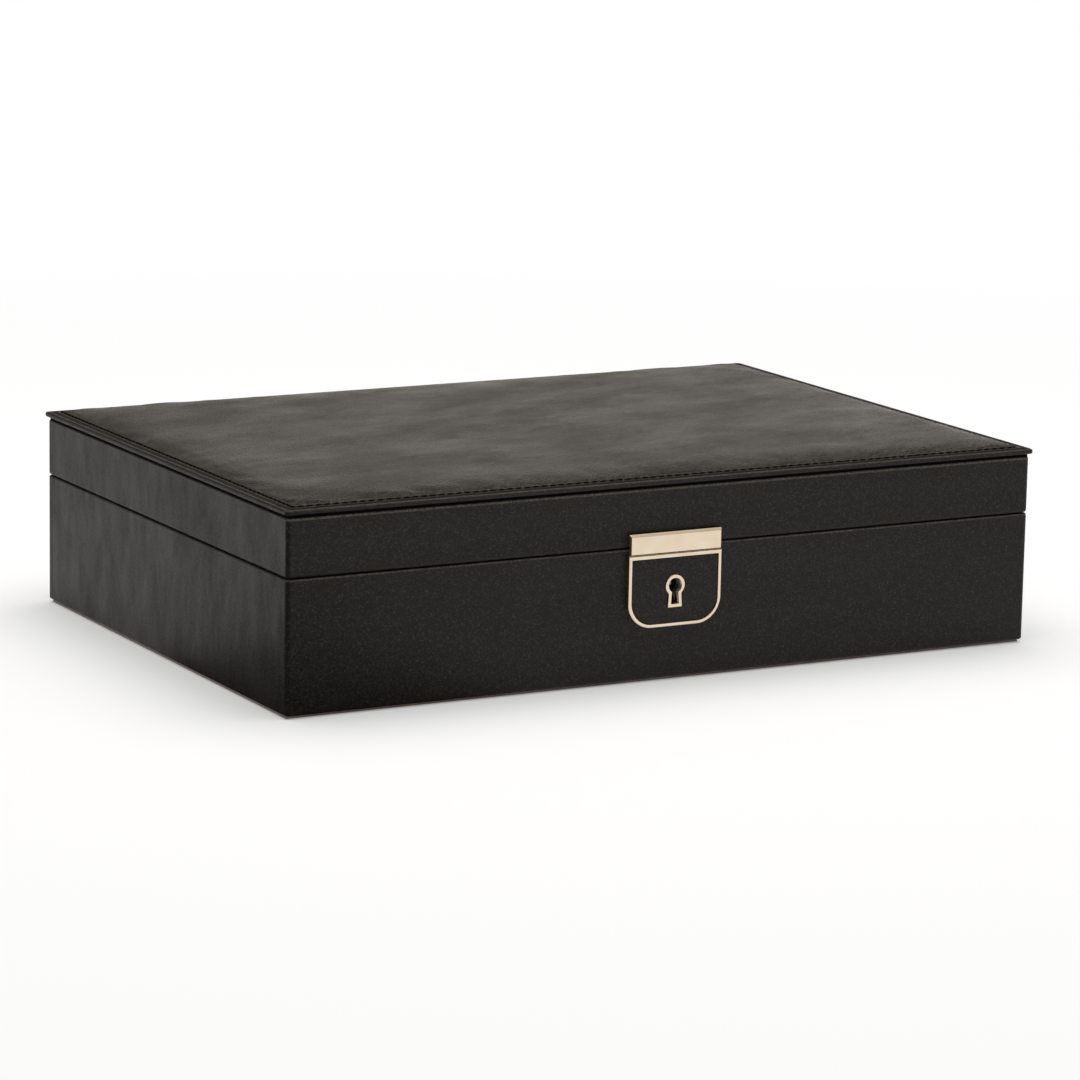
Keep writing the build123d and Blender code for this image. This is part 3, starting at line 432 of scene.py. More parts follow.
def padGrid(half, settings):
    # A grid whose outer lines run round the edge by rim's (inset, height) pairs; its field swells inside them
    rim = settings["rim"]
    inner, base = rim[-1]

    def swell(distance):
        return base + sum(rise * (1 - math.exp(-distance / reach)) for rise, reach in settings["swell"])

    ringed = rim + [(inner + near, swell(near)) for near in settings["near"]]
    last = ringed[-1][0]

    def lines(size):
        count = max(4, round(2 * (size - last * mm) / (settings["step"] * mm)))
        start = [-(size - inset * mm) for inset, _ in ringed]
        field = [start[-1] + 2 * (size - last * mm) * k / count for k in range(1, count)]
        return start + field + [-v for v in reversed(start)]

    xs, ys = lines(half[0]), lines(half[1])
    corner = settings["corner"] * mm
    points, ringOf = [], []
    for j, y in enumerate(ys):
        for i, x in enumerate(xs):
            ring = min(i, len(xs) - 1 - i, j, len(ys) - 1 - j)
            inset = min(half[0] - abs(x), half[1] - abs(y)) / mm
            height = rim[ring][1] if ring < len(rim) else swell(inset - inner)
            u = abs(x) - (half[0] - corner)
            v = abs(y) - (half[1] - corner)
            if u > 0 and v > 0:
                reach = max(u, v) / math.hypot(u, v)
                x = math.copysign(half[0] - corner + u * reach, x)
                y = math.copysign(half[1] - corner + v * reach, y)
            points.append((x, y, height * mm))
            ringOf.append(ring)
    columns = len(xs)
    faces = [(a, a + 1, a + columns + 1, a + columns)
             for j in range(len(ys) - 1) for a in range(j * columns, j * columns + columns - 1)]
    return points, faces, ringOf


clothSettings = {"quality": 6, "mass": 0.2}  # solver steps in a frame, and kilograms at each point


def puff(piece, held, settings):
    # Cloth simulation with air pressure: held points stay, the rest swells, no point moves past the cap
    group = piece.vertex_groups.new(name="held")
    group.add(held, 1.0, "REPLACE")
    start = [v.co.copy() for v in piece.data.vertices]
    cloth = piece.modifiers.new("padding", "CLOTH")
    cloth.settings.quality = clothSettings["quality"]
    cloth.settings.mass = clothSettings["mass"]
    cloth.settings.tension_stiffness = settings["stiffness"]
    cloth.settings.compression_stiffness = settings["stiffness"]
    cloth.settings.bending_stiffness = settings["bending"]
    cloth.settings.shrink_min = -settings["slack"]
    cloth.settings.vertex_group_mass = "held"
    cloth.settings.use_pressure = True
    cloth.settings.uniform_pressure_force = settings["pressure"]
    cloth.settings.effector_weights.gravity = 0
    cloth.point_cache.frame_start = 1
    cloth.point_cache.frame_end = settings["frames"]
    for step in range(1, settings["frames"] + 1):
        scene.frame_set(step)
    puffed = [v.co.copy() for v in plainMesh(piece, "puffed").vertices]
    piece.modifiers.remove(cloth)
    piece.vertex_groups.clear()
    scene.frame_set(1)
    furthest = 0.0
    for vertex, old, new in zip(piece.data.vertices, start, puffed):
        move = new - old
        furthest = max(furthest, move.length)
        if move.length > settings["cap"] * mm:
            move *= settings["cap"] * mm / move.length
        vertex.co = old + move
    print(piece.name, "puffed by up to", round(furthest / mm, 2), "mm before the cap")


def closeAndSmooth(piece):
    # Rounds the piece with one subdivision, then closes its open rim with a flat back
    finer = piece.modifiers.new("finer", "SUBSURF")
    finer.levels = finer.render_levels = 1
    finer.boundary_smooth = "ALL"
    mesh = plainMesh(piece, piece.name)
    piece.modifiers.clear()
    coarse = piece.data
    piece.data = mesh
    bpy.data.meshes.remove(coarse)
    with editing(mesh) as bm:
        rimEdges = [e for e in bm.edges if e.is_boundary]
        if rimEdges:
            bmesh.ops.holes_fill(bm, edges=rimEdges, sides=0)
        faceOutwards(bm)
        for edge in bm.edges:
            if len(edge.link_faces) == 2 and max(len(f.verts) for f in edge.link_faces) > 4:
                edge.smooth = False


def makePad(name, node, settings, material, flip=False):
    # A padded piece over the box of its CAD node, upside down where it is flipped
    low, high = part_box(node)
    half = ((high.x - low.x) / 2, (high.y - low.y) / 2)
    middle = (low + high) / 2
    points, faces, ringOf = padGrid(half, settings)
    mesh = meshFrom(name, points, faces)
    marks = mesh.attributes.new("ring", "INT", "POINT")
    marks.data.foreach_set("value", ringOf)
    with editing(mesh) as bm:
        mergeDoubles(bm)
    piece = newPiece(name, mesh, material)
    rings = [d.value for d in mesh.attributes["ring"].data]
    rimRings = len(settings["rim"])
    if settings.get("puff"):
        puff(piece, [i for i, ring in enumerate(rings) if ring < rimRings], settings["puff"])
    mesh.attributes.remove(mesh.attributes["ring"])
    rippleHeight, rippleSize = settings["ripple"]
    for vertex, ring in zip(piece.data.vertices, rings):
        swell = min(1.0, max(0, ring - rimRings) / 4)  # none at the edge, all of it four lines in
        ripple = rippleHeight * mm * swell * noise.noise(vertex.co / (rippleSize * mm))
        height = vertex.co.z + ripple
        level = high.z - height if flip else low.z + height
        vertex.co = Vector((vertex.co.x + middle.x, vertex.co.y + middle.y, level))
    closeAndSmooth(piece)
    return piece


# Leather cover of the lid: folded edge, border, stitched groove, and the foam crown inside it
paddedTopSettings = {
    "corner": 1.9, "step": 4.2, "swell": [(0.62, 1.9), (1.1, 9.5)], "ripple": (0.1, 24.0),
    "near": [0.5, 1.2, 2.1, 3.3, 4.9, 7.2, 10.6],
    "rim": [(0.3, 0.0), (0.14, 0.03), (0.12, 0.09), (0.3, 0.14), (0.7, 0.15), (1.15, 0.1), (1.7, 0.07),
            (2.3, 0.1), (2.8, 0.18), (3.2, 0.28), (3.55, 0.3), (3.85, 0.22), (4.1, 0.1), (4.35, 0.03),
            (4.55, 0.04), (4.66, 0.18), (4.74, 0.42), (4.86, 0.64), (5.1, 0.78)],
    "puff": {"pressure": 4.0, "stiffness": 25.0, "bending": 0.8, "slack": 0.004, "frames": 20, "cap": 0.25},
}
paddedTop = makePad("paddedTop", "lid_pad_cover", paddedTopSettings, topLeather)
fitTo(paddedTop, "lid", ["lid_pad_cover"])

# Suede cushion inside the lid, on its board
lidCushionSettings = {
    "corner": 4.0, "step": 4.5, "swell": [(1.9, 8.0)], "ripple": (0.15, 30.0),
    "near": [1.2, 2.8, 4.8, 7.4],
    "rim": [(0.0, 0.0), (0.0, 0.7), (0.0, 1.4), (0.25, 1.9), (0.8, 2.15)],
    "puff": {"pressure": 4.0, "stiffness": 15.0, "bending": 0.5, "slack": 0.006, "frames": 20, "cap": 0.4},
}
lidCushion = makePad("lidCushion", "lid_cushion", lidCushionSettings, liningSuede, flip=True)
fitTo(lidCushion, "lid", ["lid_cushion"])

# Suede-covered pad under the case, its edge rolled
basePadSettings = {
    "corner": 1.8, "step": 12.0, "swell": [(0.02, 4.0)], "ripple": (0.0, 30.0), "near": [],
    "rim": [(0.12, 0.0), (0.02, 0.1), (0.0, 0.25), (0.0, 0.55), (0.0, 0.85), (0.08, 1.02), (0.3, 1.08)],
}
basePad = makePad("basePad", "base_pad", basePadSettings, padSuedePaintedLighter)
fitTo(basePad, "case", ["base_pad"])
print("pads made")


def separateParts(node):
    # The points of each separate solid of a CAD node
    bm = bmesh.new()
    bm.from_mesh(cadNodes[node].data)
    bmesh.ops.remove_doubles(bm, verts=bm.verts, dist=weld)
    todo, parts = set(bm.verts), []
    while todo:
        points, stack = [], [todo.pop()]
        while stack:
            vertex = stack.pop()
            points.append(vertex.co.copy())
            for edge in vertex.link_edges:
                other = edge.other_vert(vertex)
                if other in todo:
                    todo.discard(other)
                    stack.append(other)
        low = Vector(min(p[i] for p in points) for i in range(3))
        high = Vector(max(p[i] for p in points) for i in range(3))
        parts.append((low, high, points))
    bm.free()
    return sorted(parts, key=lambda part: tuple(round(c, 5) for c in part[0] + part[1]))


# Suede rolls that hold cufflinks and rings between them: drawn in at both ends, flat underneath
rollSettings = {
    "around": 28, "along": 30, "foot": 5.25, "pinch": 0.55, "pinchRun": 5.0, "shrink": 0.12,
    "endRings": [(0.86, -0.15), (0.5, 0.06), (0.18, 0.3)],  # share of the radius, and how far the end dips
    "endRise": 1.2, "held": 0.6, "drift": (0.12, 9.0),
    "puff": {"pressure": 4.0, "stiffness": 15.0, "bending": 0.3, "slack": 0.01, "frames": 20, "cap": 0.12},
}


def cushionRoll(low, high):
    radius = (high.y - low.y) / 2 - rollSettings["shrink"] * mm
    floor, middleY = low.z, (low.y + high.y) / 2
    axis = floor + rollSettings["foot"] * mm
    around, along = rollSettings["around"], rollSettings["along"]
    points = []
    for i in range(along + 1):
        x = low.x + (high.x - low.x) * (0.5 - 0.5 * math.cos(math.pi * i / along))
        fromEnd = min(x - low.x, high.x - x) / (rollSettings["pinchRun"] * mm)
        size = radius - rollSettings["pinch"] * mm * max(0.0, 1 - fromEnd) ** 3
        for k in range(around):
            angle = 2 * math.pi * k / around
            points.append((x, middleY + size * math.sin(angle), max(floor, axis + size * math.cos(angle))))
    faces = [(i * around + k, i * around + (k + 1) % around, (i + 1) * around + (k + 1) % around,
              (i + 1) * around + k) for i in range(along) for k in range(around)]
    middleZ = (axis + floor) / 2 + rollSettings["endRise"] * mm
    for end, inward in ((0, 1), (along, -1)):
        previous = [end * around + k for k in range(around)]
        ring = [points[index] for index in previous]
        for share, dip in rollSettings["endRings"]:
            start = len(points)
            points += [
                (x + inward * dip * mm, middleY + (y - middleY) * share, middleZ + (z - middleZ) * share)
                for x, y, z in ring]
            faces += [(previous[k], previous[(k + 1) % around], start + (k + 1) % around, start + k)
                      for k in range(around)]
            previous = list(range(start, start + around))
        faces.append(tuple(previous))
    return points, faces


def makeRolls():
    points, faces = [], []
    for low, high, _ in separateParts("cushion_rolls"):
        somePoints, someFaces = cushionRoll(low, high)
        faces += [tuple(len(points) + i for i in face) for face in someFaces]
        points += somePoints
    mesh = meshFrom("cushionRolls", points, faces)
    with editing(mesh) as bm:
        mergeDoubles(bm)
        faceOutwards(bm)
    piece = newPiece("cushionRolls", mesh, liningSuede)
    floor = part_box("cushion_rolls")[0].z
    held = floor + rollSettings["held"] * mm
    puff(piece, [v.index for v in mesh.vertices if v.co.z < held], rollSettings["puff"])
    driftHeight, driftSize = rollSettings["drift"]
    for vertex in piece.data.vertices:
        drift = driftHeight * mm * noise.noise(vertex.co / (driftSize * mm))
        vertex.co.z = max(floor, vertex.co.z + drift)
    closeAndSmooth(piece)
    return piece


cushionRolls = makeRolls()
fitTo(cushionRolls, "case", ["cushion_rolls"])
print("cushion rolls made")


def socketId(tree, name):
    return next(s.identifier for s in tree.interface.items_tree if s.name == name and s.in_out == "INPUT")


def startTree(name, inputs):
    tree = bpy.data.node_groups.new(name, "GeometryNodeTree")
    tree.interface.new_socket("Geometry", in_out="INPUT", socket_type="NodeSocketGeometry")
    for label, kind in inputs:
        tree.interface.new_socket(label, in_out="INPUT", socket_type=kind)
    tree.interface.new_socket("Geometry", in_out="OUTPUT", socket_type="NodeSocketGeometry")
    return tree, addNode(tree, "NodeGroupInput"), addNode(tree, "NodeGroupOutput")


def runTree(name, mesh, tree, values):
    # The tree's result on this mesh, as a plain mesh
    carrier = bpy.data.objects.new(name, mesh)
    scene.collection.objects.link(carrier)
    modifier = carrier.modifiers.new(name, "NODES")
    modifier.node_group = tree
    for label, value in values.items():
        modifier[socketId(tree, label)] = value
    result = plainMesh(carrier, name)
    carrier.modifiers.remove(modifier)
    bpy.data.objects.remove(carrier)
    return result


def stitchTree():
    # Stitches along a rounded rectangle, each a stretched bead that leans a little
    floats = "NodeSocketFloat"
    tree, source, result = startTree("stitchLine", [
        ("Width", floats), ("Depth", floats), ("Corner", floats), ("Pitch", floats), ("Length", floats),
        ("Thread", floats), ("Tilt", floats), ("Seed", "NodeSocketInt"), ("Material", "NodeSocketMaterial")])
    given = source.outputs
    outline = addNode(tree, "GeometryNodeCurvePrimitiveQuadrilateral",
                      links={"Width": given["Width"], "Height": given["Depth"]})
    rounded = addNode(tree, "GeometryNodeFilletCurve", {"Count": 6},
                      {"Curve": outline, "Radius": given["Corner"]}, mode="POLY")
    spaced = addNode(tree, "GeometryNodeResampleCurve", links={"Curve": rounded, "Length": given["Pitch"]},
                     mode="LENGTH")
    bead = addNode(tree, "GeometryNodeMeshUVSphere", {
        "Segments": stitchSettings["segments"], "Rings": stitchSettings["rings"], "Radius": 0.5})
    scale = addNode(tree, "ShaderNodeCombineXYZ", links={
        "X": given["Length"], "Y": given["Thread"], "Z": given["Thread"]})
    lying = addNode(tree, "GeometryNodeTransform", links={"Geometry": bead, "Scale": scale})
    tangent = addNode(tree, "GeometryNodeInputTangent")
    along = addNode(tree, "FunctionNodeAlignRotationToVector", links={"Vector": tangent}, axis="X")
    wobble = addNode(tree, "FunctionNodeRandomValue", {2: -0.05, 3: 0.05}, {"Seed": given["Seed"]},
                     data_type="FLOAT")
    lean = addNode(tree, "ShaderNodeMath", links={0: wobble.outputs[1], 1: given["Tilt"]}, operation="ADD")
    turn = addNode(tree, "ShaderNodeCombineXYZ", links={"Z": lean})
    asRotation = addNode(tree, "FunctionNodeEulerToRotation", links={"Euler": turn})
    turned = addNode(tree, "FunctionNodeRotateRotation", rotation_space="LOCAL",
                     links={"Rotation": along, "Rotate By": asRotation})
    placed = addNode(tree, "GeometryNodeInstanceOnPoints", links={
        "Points": spaced, "Instance": lying, "Rotation": turned})
    real = addNode(tree, "GeometryNodeRealizeInstances", links={"Geometry": placed})
    smooth = addNode(tree, "GeometryNodeSetShadeSmooth", links={"Geometry": real})
    painted = addNode(tree, "GeometryNodeSetMaterial", links={
        "Geometry": smooth, "Material": given["Material"]})
    connect(tree, result, {"Geometry": painted})
    return tree


stitchSettings = {
    "inset": 4.38,  # from the cover's edge to the middle of its groove
    "height": 0.39,  # above the cover's underside
    "sizes": {"Corner": 0.6, "Pitch": 3.4, "Length": 2.6, "Thread": 0.7},
    "segments": 8, "rings": 5,  # of each stitch's bead
}


def makeStitches():
    low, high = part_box("lid_pad_cover")
    inset = stitchSettings["inset"] * mm
    sizes = {label: value * mm for label, value in stitchSettings["sizes"].items()}
    mesh = runTree("topStitches", bpy.data.meshes.new("stitchStart"), stitchTree(), {
        "Width": high.x - low.x - 2 * inset, "Depth": high.y - low.y - 2 * inset, **sizes,
        "Tilt": 0.06, "Seed": 4, "Material": thread})
    middle = (low + high) / 2
    mesh.transform(Matrix.Translation((middle.x, middle.y, low.z + stitchSettings["height"] * mm)))
    print("stitches:", len(mesh.polygons) // (stitchSettings["segments"] * stitchSettings["rings"]))
    return fitTo(newPiece("topStitches", mesh, thread), "lid")


makeStitches()


def screwTree():
    # Countersunk screw with a slotted head, its top at the point, turned to face the point's direction
    floats = "NodeSocketFloat"
    tree, source, result = startTree("slottedScrews", [
        ("Head", floats), ("Shank", floats), ("Length", floats), ("Slot Width", floats),
        ("Slot Depth", floats), ("Seed", "NodeSocketInt"), ("Material", "NodeSocketMaterial")])
    given = source.outputs
    height = addNode(tree, "ShaderNodeMath", links={0: given["Head"], 1: given["Shank"]},
                     operation="SUBTRACT")
    cone = addNode(tree, "GeometryNodeMeshCone", {"Vertices": 28}, {
        "Radius Top": given["Head"], "Radius Bottom": given["Shank"], "Depth": height})
    down = addNode(tree, "ShaderNodeMath", {1: -1.0}, {0: height}, operation="MULTIPLY")
    coneAt = addNode(tree, "ShaderNodeCombineXYZ", links={"Z": down})
    head = addNode(tree, "GeometryNodeTransform", links={"Geometry": cone, "Translation": coneAt})
    shankLength = addNode(tree, "ShaderNodeMath", links={0: given["Length"], 1: height}, operation="SUBTRACT")
    shank = addNode(tree, "GeometryNodeMeshCylinder", {"Vertices": 16}, {
        "Radius": given["Shank"], "Depth": shankLength})
    halfDown = addNode(tree, "ShaderNodeMath", {1: -0.5}, {0: shankLength}, operation="MULTIPLY")
    shankDown = addNode(tree, "ShaderNodeMath", links={0: halfDown, 1: down}, operation="ADD")
    shankAt = addNode(tree, "ShaderNodeCombineXYZ", links={"Z": shankDown})
    rod = addNode(tree, "GeometryNodeTransform", links={"Geometry": shank, "Translation": shankAt})
    across = addNode(tree, "ShaderNodeMath", {1: 3.0}, {0: given["Head"]}, operation="MULTIPLY")
    deep = addNode(tree, "ShaderNodeMath", {1: 2.0}, {0: given["Slot Depth"]}, operation="MULTIPLY")
    slotSize = addNode(tree, "ShaderNodeCombineXYZ", links={"X": across, "Y": given["Slot Width"], "Z": deep})
    slot = addNode(tree, "GeometryNodeMeshCube", links={"Size": slotSize})
    slotted = addNode(tree, "GeometryNodeMeshBoolean", links={"Mesh 1": head, "Mesh 2": slot},
                      operation="DIFFERENCE")
    both = addNode(tree, "GeometryNodeJoinGeometry")
    connect(tree, both, {"Geometry": slotted})
    connect(tree, both, {"Geometry": rod})
    facing = addNode(tree, "GeometryNodeInputNamedAttribute", {"Name": "facing"}, data_type="FLOAT_VECTOR")
    upright = addNode(tree, "FunctionNodeAlignRotationToVector", links={"Vector": facing}, axis="Z")
    spin = addNode(tree, "FunctionNodeRandomValue", {2: 0.0, 3: 3.14}, {"Seed": given["Seed"]},
                   data_type="FLOAT")
    turn = addNode(tree, "ShaderNodeCombineXYZ", links={"Z": spin.outputs[1]})
    asRotation = addNode(tree, "FunctionNodeEulerToRotation", links={"Euler": turn})
    turned = addNode(tree, "FunctionNodeRotateRotation", rotation_space="LOCAL",
                     links={"Rotation": upright, "Rotate By": asRotation})
    placed = addNode(tree, "GeometryNodeInstanceOnPoints", links={
        "Points": given["Geometry"], "Instance": both, "Rotation": turned})
    real = addNode(tree, "GeometryNodeRealizeInstances", links={"Geometry": placed})
    painted = addNode(tree, "GeometryNodeSetMaterial", links={
        "Geometry": real, "Material": given["Material"]})
    connect(tree, result, {"Geometry": painted})
    return tree


screwSettings = {  # millimetres, by where the screw goes
    "hinge": {"Head": 1.7, "Shank": 0.75, "Length": 6.5, "Slot Width": 0.42, "Slot Depth": 0.55},
    "flange": {"Head": 1.4, "Shank": 0.7, "Length": 5.0, "Slot Width": 0.38, "Slot Depth": 0.45},
    "plate": {"Head": 1.5, "Shank": 0.7, "Length": 5.4, "Slot Width": 0.4, "Slot Depth": 0.5},
}


def screwHeads(node):
    # Centre, direction and radius of each screw head of a CAD node, read from its separate solids
    flat = 0.01 * mm  # points this near an end lie on it
    found = []
    for low, high, points in separateParts(node):
        size, centre = high - low, (low + high) / 2
        axis = max(range(3), key=lambda i: size[i])
        others = [i for i in range(3) if i != axis]
        widest = [max(max(abs(p[i] - centre[i]) for i in others) for p in points if abs(p[axis] - end) < flat)
                  for end in (low[axis], high[axis])]
        atHigh = widest[1] > widest[0]
        direction = Vector((0, 0, 0))
        direction[axis] = 1.0 if atHigh else -1.0
        centre[axis] = high[axis] if atHigh else low[axis]
        found.append((centre, direction, max(widest)))
    return found


def makeScrews(name, node, body):
    tree = bpy.data.node_groups.get("slottedScrews") or screwTree()
    near = 0.05  # a head within this of the setting's radius, in mm, is of its kind
    bm = bmesh.new()
    for kind, settings in screwSettings.items():
        heads = [h for h in screwHeads(node) if abs(h[2] / mm - settings["Head"]) < near]
        if not heads:
            continue
        start = bpy.data.meshes.new("screwPlaces")
        start.from_pydata([tuple(h[0]) for h in heads], [], [])
        facing = start.attributes.new("facing", "FLOAT_VECTOR", "POINT")
        facing.data.foreach_set("vector", [c for h in heads for c in h[1]])
        values = {label: value * mm for label, value in settings.items()}
        bm.from_mesh(runTree(name + kind, start, tree, {**values, "Seed": 7, "Material": gold}))
        print(name, kind, len(heads))
    mesh = bpy.data.meshes.new(name)
    bm.to_mesh(mesh)
    bm.free()
    smoothBelow(mesh, degrees=30)
    return fitTo(newPiece(name, mesh, gold), body, [node])


makeScrews("caseScrews", "case_screws", "case")
makeScrews("lidScrews", "lid_screws", "lid")

# Drawer knob, turned on a lathe
knobSettings = {
    "sides": 56, "length": 9.4,
    "profile": [  # (distance out, radius): stud, base, cove, neck, flared head and its raised face
        (-6.0, 0.6), (-5.5, 1.0), (0.0, 1.0), (0.0, 3.3), (0.1, 3.4), (0.8, 3.4), (1.0, 3.33),
        (1.13, 3.18), (1.2, 2.95), (1.23, 2.5), (1.32, 2.2), (1.52, 2.0), (1.85, 1.92), (2.6, 1.9),
        (3.6, 1.9), (4.1, 1.95), (4.4, 2.1), (4.7, 2.4), (5.2, 3.0), (5.55, 3.38), (5.8, 3.58), (6.0, 3.7),
        (6.25, 3.78), (6.5, 3.8), (8.4, 3.8), (8.7, 3.74), (8.93, 3.58), (9.06, 3.35), (9.12, 3.05),
        (9.2, 2.4), (9.3, 1.5), (9.36, 0.8), (9.39, 0.3), (9.4, 0.05)],
}


def lathe(name, profile, sides, start, material):
    # Profile of (distance out, radius) turned round the X axis from the start point
    points = [(start.x + out * mm, start.y + radius * mm * math.cos(2 * math.pi * k / sides),
               start.z + radius * mm * math.sin(2 * math.pi * k / sides))
              for out, radius in profile for k in range(sides)]
    faces = [(i * sides + k, i * sides + (k + 1) % sides, (i + 1) * sides + (k + 1) % sides,
              (i + 1) * sides + k) for i in range(len(profile) - 1) for k in range(sides)]
    faces.append(tuple(range(sides)))
    faces.append(tuple(reversed(range((len(profile) - 1) * sides, len(profile) * sides))))
    mesh = meshFrom(name, points, faces)
    with editing(mesh) as bm:
        mergeDoubles(bm)
        faceOutwards(bm)
    smoothBelow(mesh, degrees=35)
    return newPiece(name, mesh, material)


def makeKnob():
    low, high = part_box("drawer_knob")
    start = Vector((high.x - knobSettings["length"] * mm, (low.y + high.y) / 2, (low.z + high.z) / 2))
    knob = lathe("drawerKnob", knobSettings["profile"], knobSettings["sides"], start, gold)
    return fitTo(knob, "drawer", ["drawer_knob"])


makeKnob()
print("drawer knob turned")

# Rigid pieces from the CAD, with eased edges
dividers = ["main_divider", "watch_divider"] + [
    f"{way}_divider_{n}" for way in ("cross", "long") for n in (1, 2, 3)]
leaves = ["case_hinge_leaf_left", "case_hinge_leaf_right"]
rigidPieces = [
    # name, CAD nodes, body, material, record slot, edge in mm
    ("caseLeather", ["case_leather"], "case", wallLeather, "black_leather", 0.12),
    ("lidLeather", ["lid_leather"], "lid", wallLeather, "black_leather", 0.12),
    ("lipLeather", ["lid_lip_board"], "lid", wallLeather, "black_leather", 0.1),
    ("spacerCard", ["lid_spacer"], "lid", card, "spacer_card", 0.05),
    ("drawerFrontLeather", ["drawer_front_leather"], "drawer", wallLeather, "black_leather", 0.15),
    ("lockPlate", ["lock_plate"], "case", gold, "gold_brass", 0.28),
    ("keyholeEscutcheon", ["keyhole_escutcheon"], "case", gold, "gold_brass", 0.3),
    ("haspBar", ["hasp_bar"], "lid", gold, "gold_brass", 0.25),
    ("lockInlay", ["lock_inlay"], "case", wallLeather, "black_leather", 0.12),
    ("lockCase", ["lock_case"], "case", steel, "lock_steel", 0.08),
    ("lockCover", ["lock_cover"], "case", steel, "lock_steel", 0.08),
    ("keyPost", ["key_post"], "case", steel, "lock_steel", 0.06),
    ("lockSpring", ["lock_spring"], "case", steel, "lock_steel", 0.05),
    ("lockBolt", ["lock_bolt"], "lock_bolt", steel, "lock_steel", 0.1),
    ("staplePlate", ["staple_plate"], "lid", gold, "gold_brass", 0.08),
    ("stapleEyes", ["staple_eyes"], "lid", gold, "gold_brass", 0.1),
    ("caseHingeLeaves", leaves, "case", gold, "gold_brass", 0.12),
    ("lidHingeLeaves", [n.replace("case", "lid") for n in leaves], "lid", gold, "gold_brass", 0.12),
    ("hingePins", ["hinge_pins"], "case", gold, "gold_brass", 0.15),
    ("trayLining", ["tray_lining"], "case", liningSuede, "lining_suede", 0.3),
    ("trayDividers", dividers, "case", liningSuede, "lining_suede", 0.6),
    ("lidWallLining", ["lid_wall_lining"], "lid", liningSuede, "lining_suede", 0.3),
    ("drawerLining", ["drawer_lining"], "drawer", liningSuede, "lining_suede", 0.3),
    ("drawerDividers", ["drawer_divider_1", "drawer_divider_2"], "drawer", liningSuede, "lining_suede", 0.6),
    ("drawerBox", ["drawer_side_near", "drawer_side_far", "drawer_back", "drawer_bottom", "drawer_front"],
     "drawer", beech, "drawer_wood", 0.4),
    ("drawerGuides", ["drawer_guide_near", "drawer_guide_far", "drawer_stop"],
     "case", beech, "drawer_wood", 0.3),
]
for name, names, body, material, slot, edge in rigidPieces:
    eased(name, names, body, material, edge)
boards = [n for n in cadNodes
          if n.endswith("_wall") or n in ("case_base_board", "tray_deck", "lid_top_board")]
for name in boards:
    cadNodes[name].data.materials.clear()
    cadNodes[name].data.materials.append(fibreboard)
print("rigid pieces eased:", len(rigidPieces), "and", len(boards), "boards kept")

# White sweep on a table, lit by one wide soft light overhead
studioSettings = {
    "floor": "#f3f2f1", "floorHalf": 8.0,  # metres
    "fill": 0.4,
    # What the box mirrors, by direction: a lit sweep behind and a lit ceiling, in an unlit room
    "room": "#3a332d", "sweep": "#fffaf2",
    "sweepTop": (0.14, 0.39), "ceiling": (0.72, 0.92), "front": (-0.35, 0.05),  # where they end and begin
    "side": (0.31, 0.45), "sideDim": 0.42,  # the sweep falls off to the left
    "glow": (0.24, 1.0), "glowRange": (0.3, 0.95),  # the floor's own white, near the box and metres away
    "darkReflection": (-0.875, -0.485), "darkReflectionEdge": (0.8, 0.95),  # a painted dark reflection: off to one side the floor takes the room's colour in mirrored rays only; its way, its cosines
    "light": {"at": (0.1, 0.1, 1.5), "size": 1.7, "power": 25.0},
}


def makeLight(settings):
    data = bpy.data.lights.new("softbox", "AREA")
    data.shape = "SQUARE"
    data.size = settings["size"]
    data.energy = settings["power"]
    lamp = bpy.data.objects.new("softbox", data)
    lamp.location = settings["at"]
    lamp.rotation_euler = (-Vector(settings["at"])).to_track_quat("-Z", "Y").to_euler()
    lamp.visible_glossy = False  # what the box mirrors overhead is the world's ceiling
    scene.collection.objects.link(lamp)


white = linear("#ffffff")


def mirroredRays(tree, path):
    # 1 for rays that a surface mirrors or that pass through it
    return addNode(tree, "ShaderNodeMath", operation="MAXIMUM", links={
        0: path.outputs["Is Glossy Ray"], 1: path.outputs["Is Transmission Ray"]})


def makeWorld():
    world = bpy.data.worlds.new("whiteStudio")
    scene.world = world
    world.use_nodes = True
    tree = world.node_tree
    path = addNode(tree, "ShaderNodeLightPath")
    towards = addNode(tree, "ShaderNodeTexCoord").outputs["Generated"]
    axes = addNode(tree, "ShaderNodeSeparateXYZ", links={"Vector": towards})
    up, back, right = axes.outputs["Z"], axes.outputs["Y"], axes.outputs["X"]
    below, behind, ceiling, fading = [
        addNode(tree, "ShaderNodeMapRange", {
            "From Min": start, "From Max": end, "To Min": low, "To Max": high},
            {"Value": source}, interpolation_type="SMOOTHSTEP")
        for source, (start, end), low, high in (
            (up, studioSettings["sweepTop"], 1.0, 0.0), (back, studioSettings["front"], 0.0, 1.0),
            (up, studioSettings["ceiling"], 0.0, 1.0),
            (right, studioSettings["side"], studioSettings["sideDim"], 1.0))]
    faded = addNode(tree, "ShaderNodeMath", links={0: below, 1: fading}, operation="MULTIPLY")
    sweep = addNode(tree, "ShaderNodeMath", links={0: faded, 1: behind}, operation="MULTIPLY")
    bright = addNode(tree, "ShaderNodeMath", links={0: sweep, 1: ceiling}, operation="MAXIMUM")
    mirrored = addNode(tree, "ShaderNodeMix", {
        6: linear(studioSettings["room"]), 7: linear(studioSettings["sweep"])}, {0: bright}, data_type="RGBA")
    mirror = mirroredRays(tree, path)
    fill = addNode(tree, "ShaderNodeMix", {6: (studioSettings["fill"],) * 3 + (1.0,)},
                   {0: mirror, 7: mirrored.outputs[2]}, data_type="RGBA")
    seen = addNode(tree, "ShaderNodeMix", {7: white},
                   {0: path.outputs["Is Camera Ray"], 6: fill.outputs[2]}, data_type="RGBA")
    connect(tree, tree.nodes["Background"], {"Color": seen.outputs[2]})


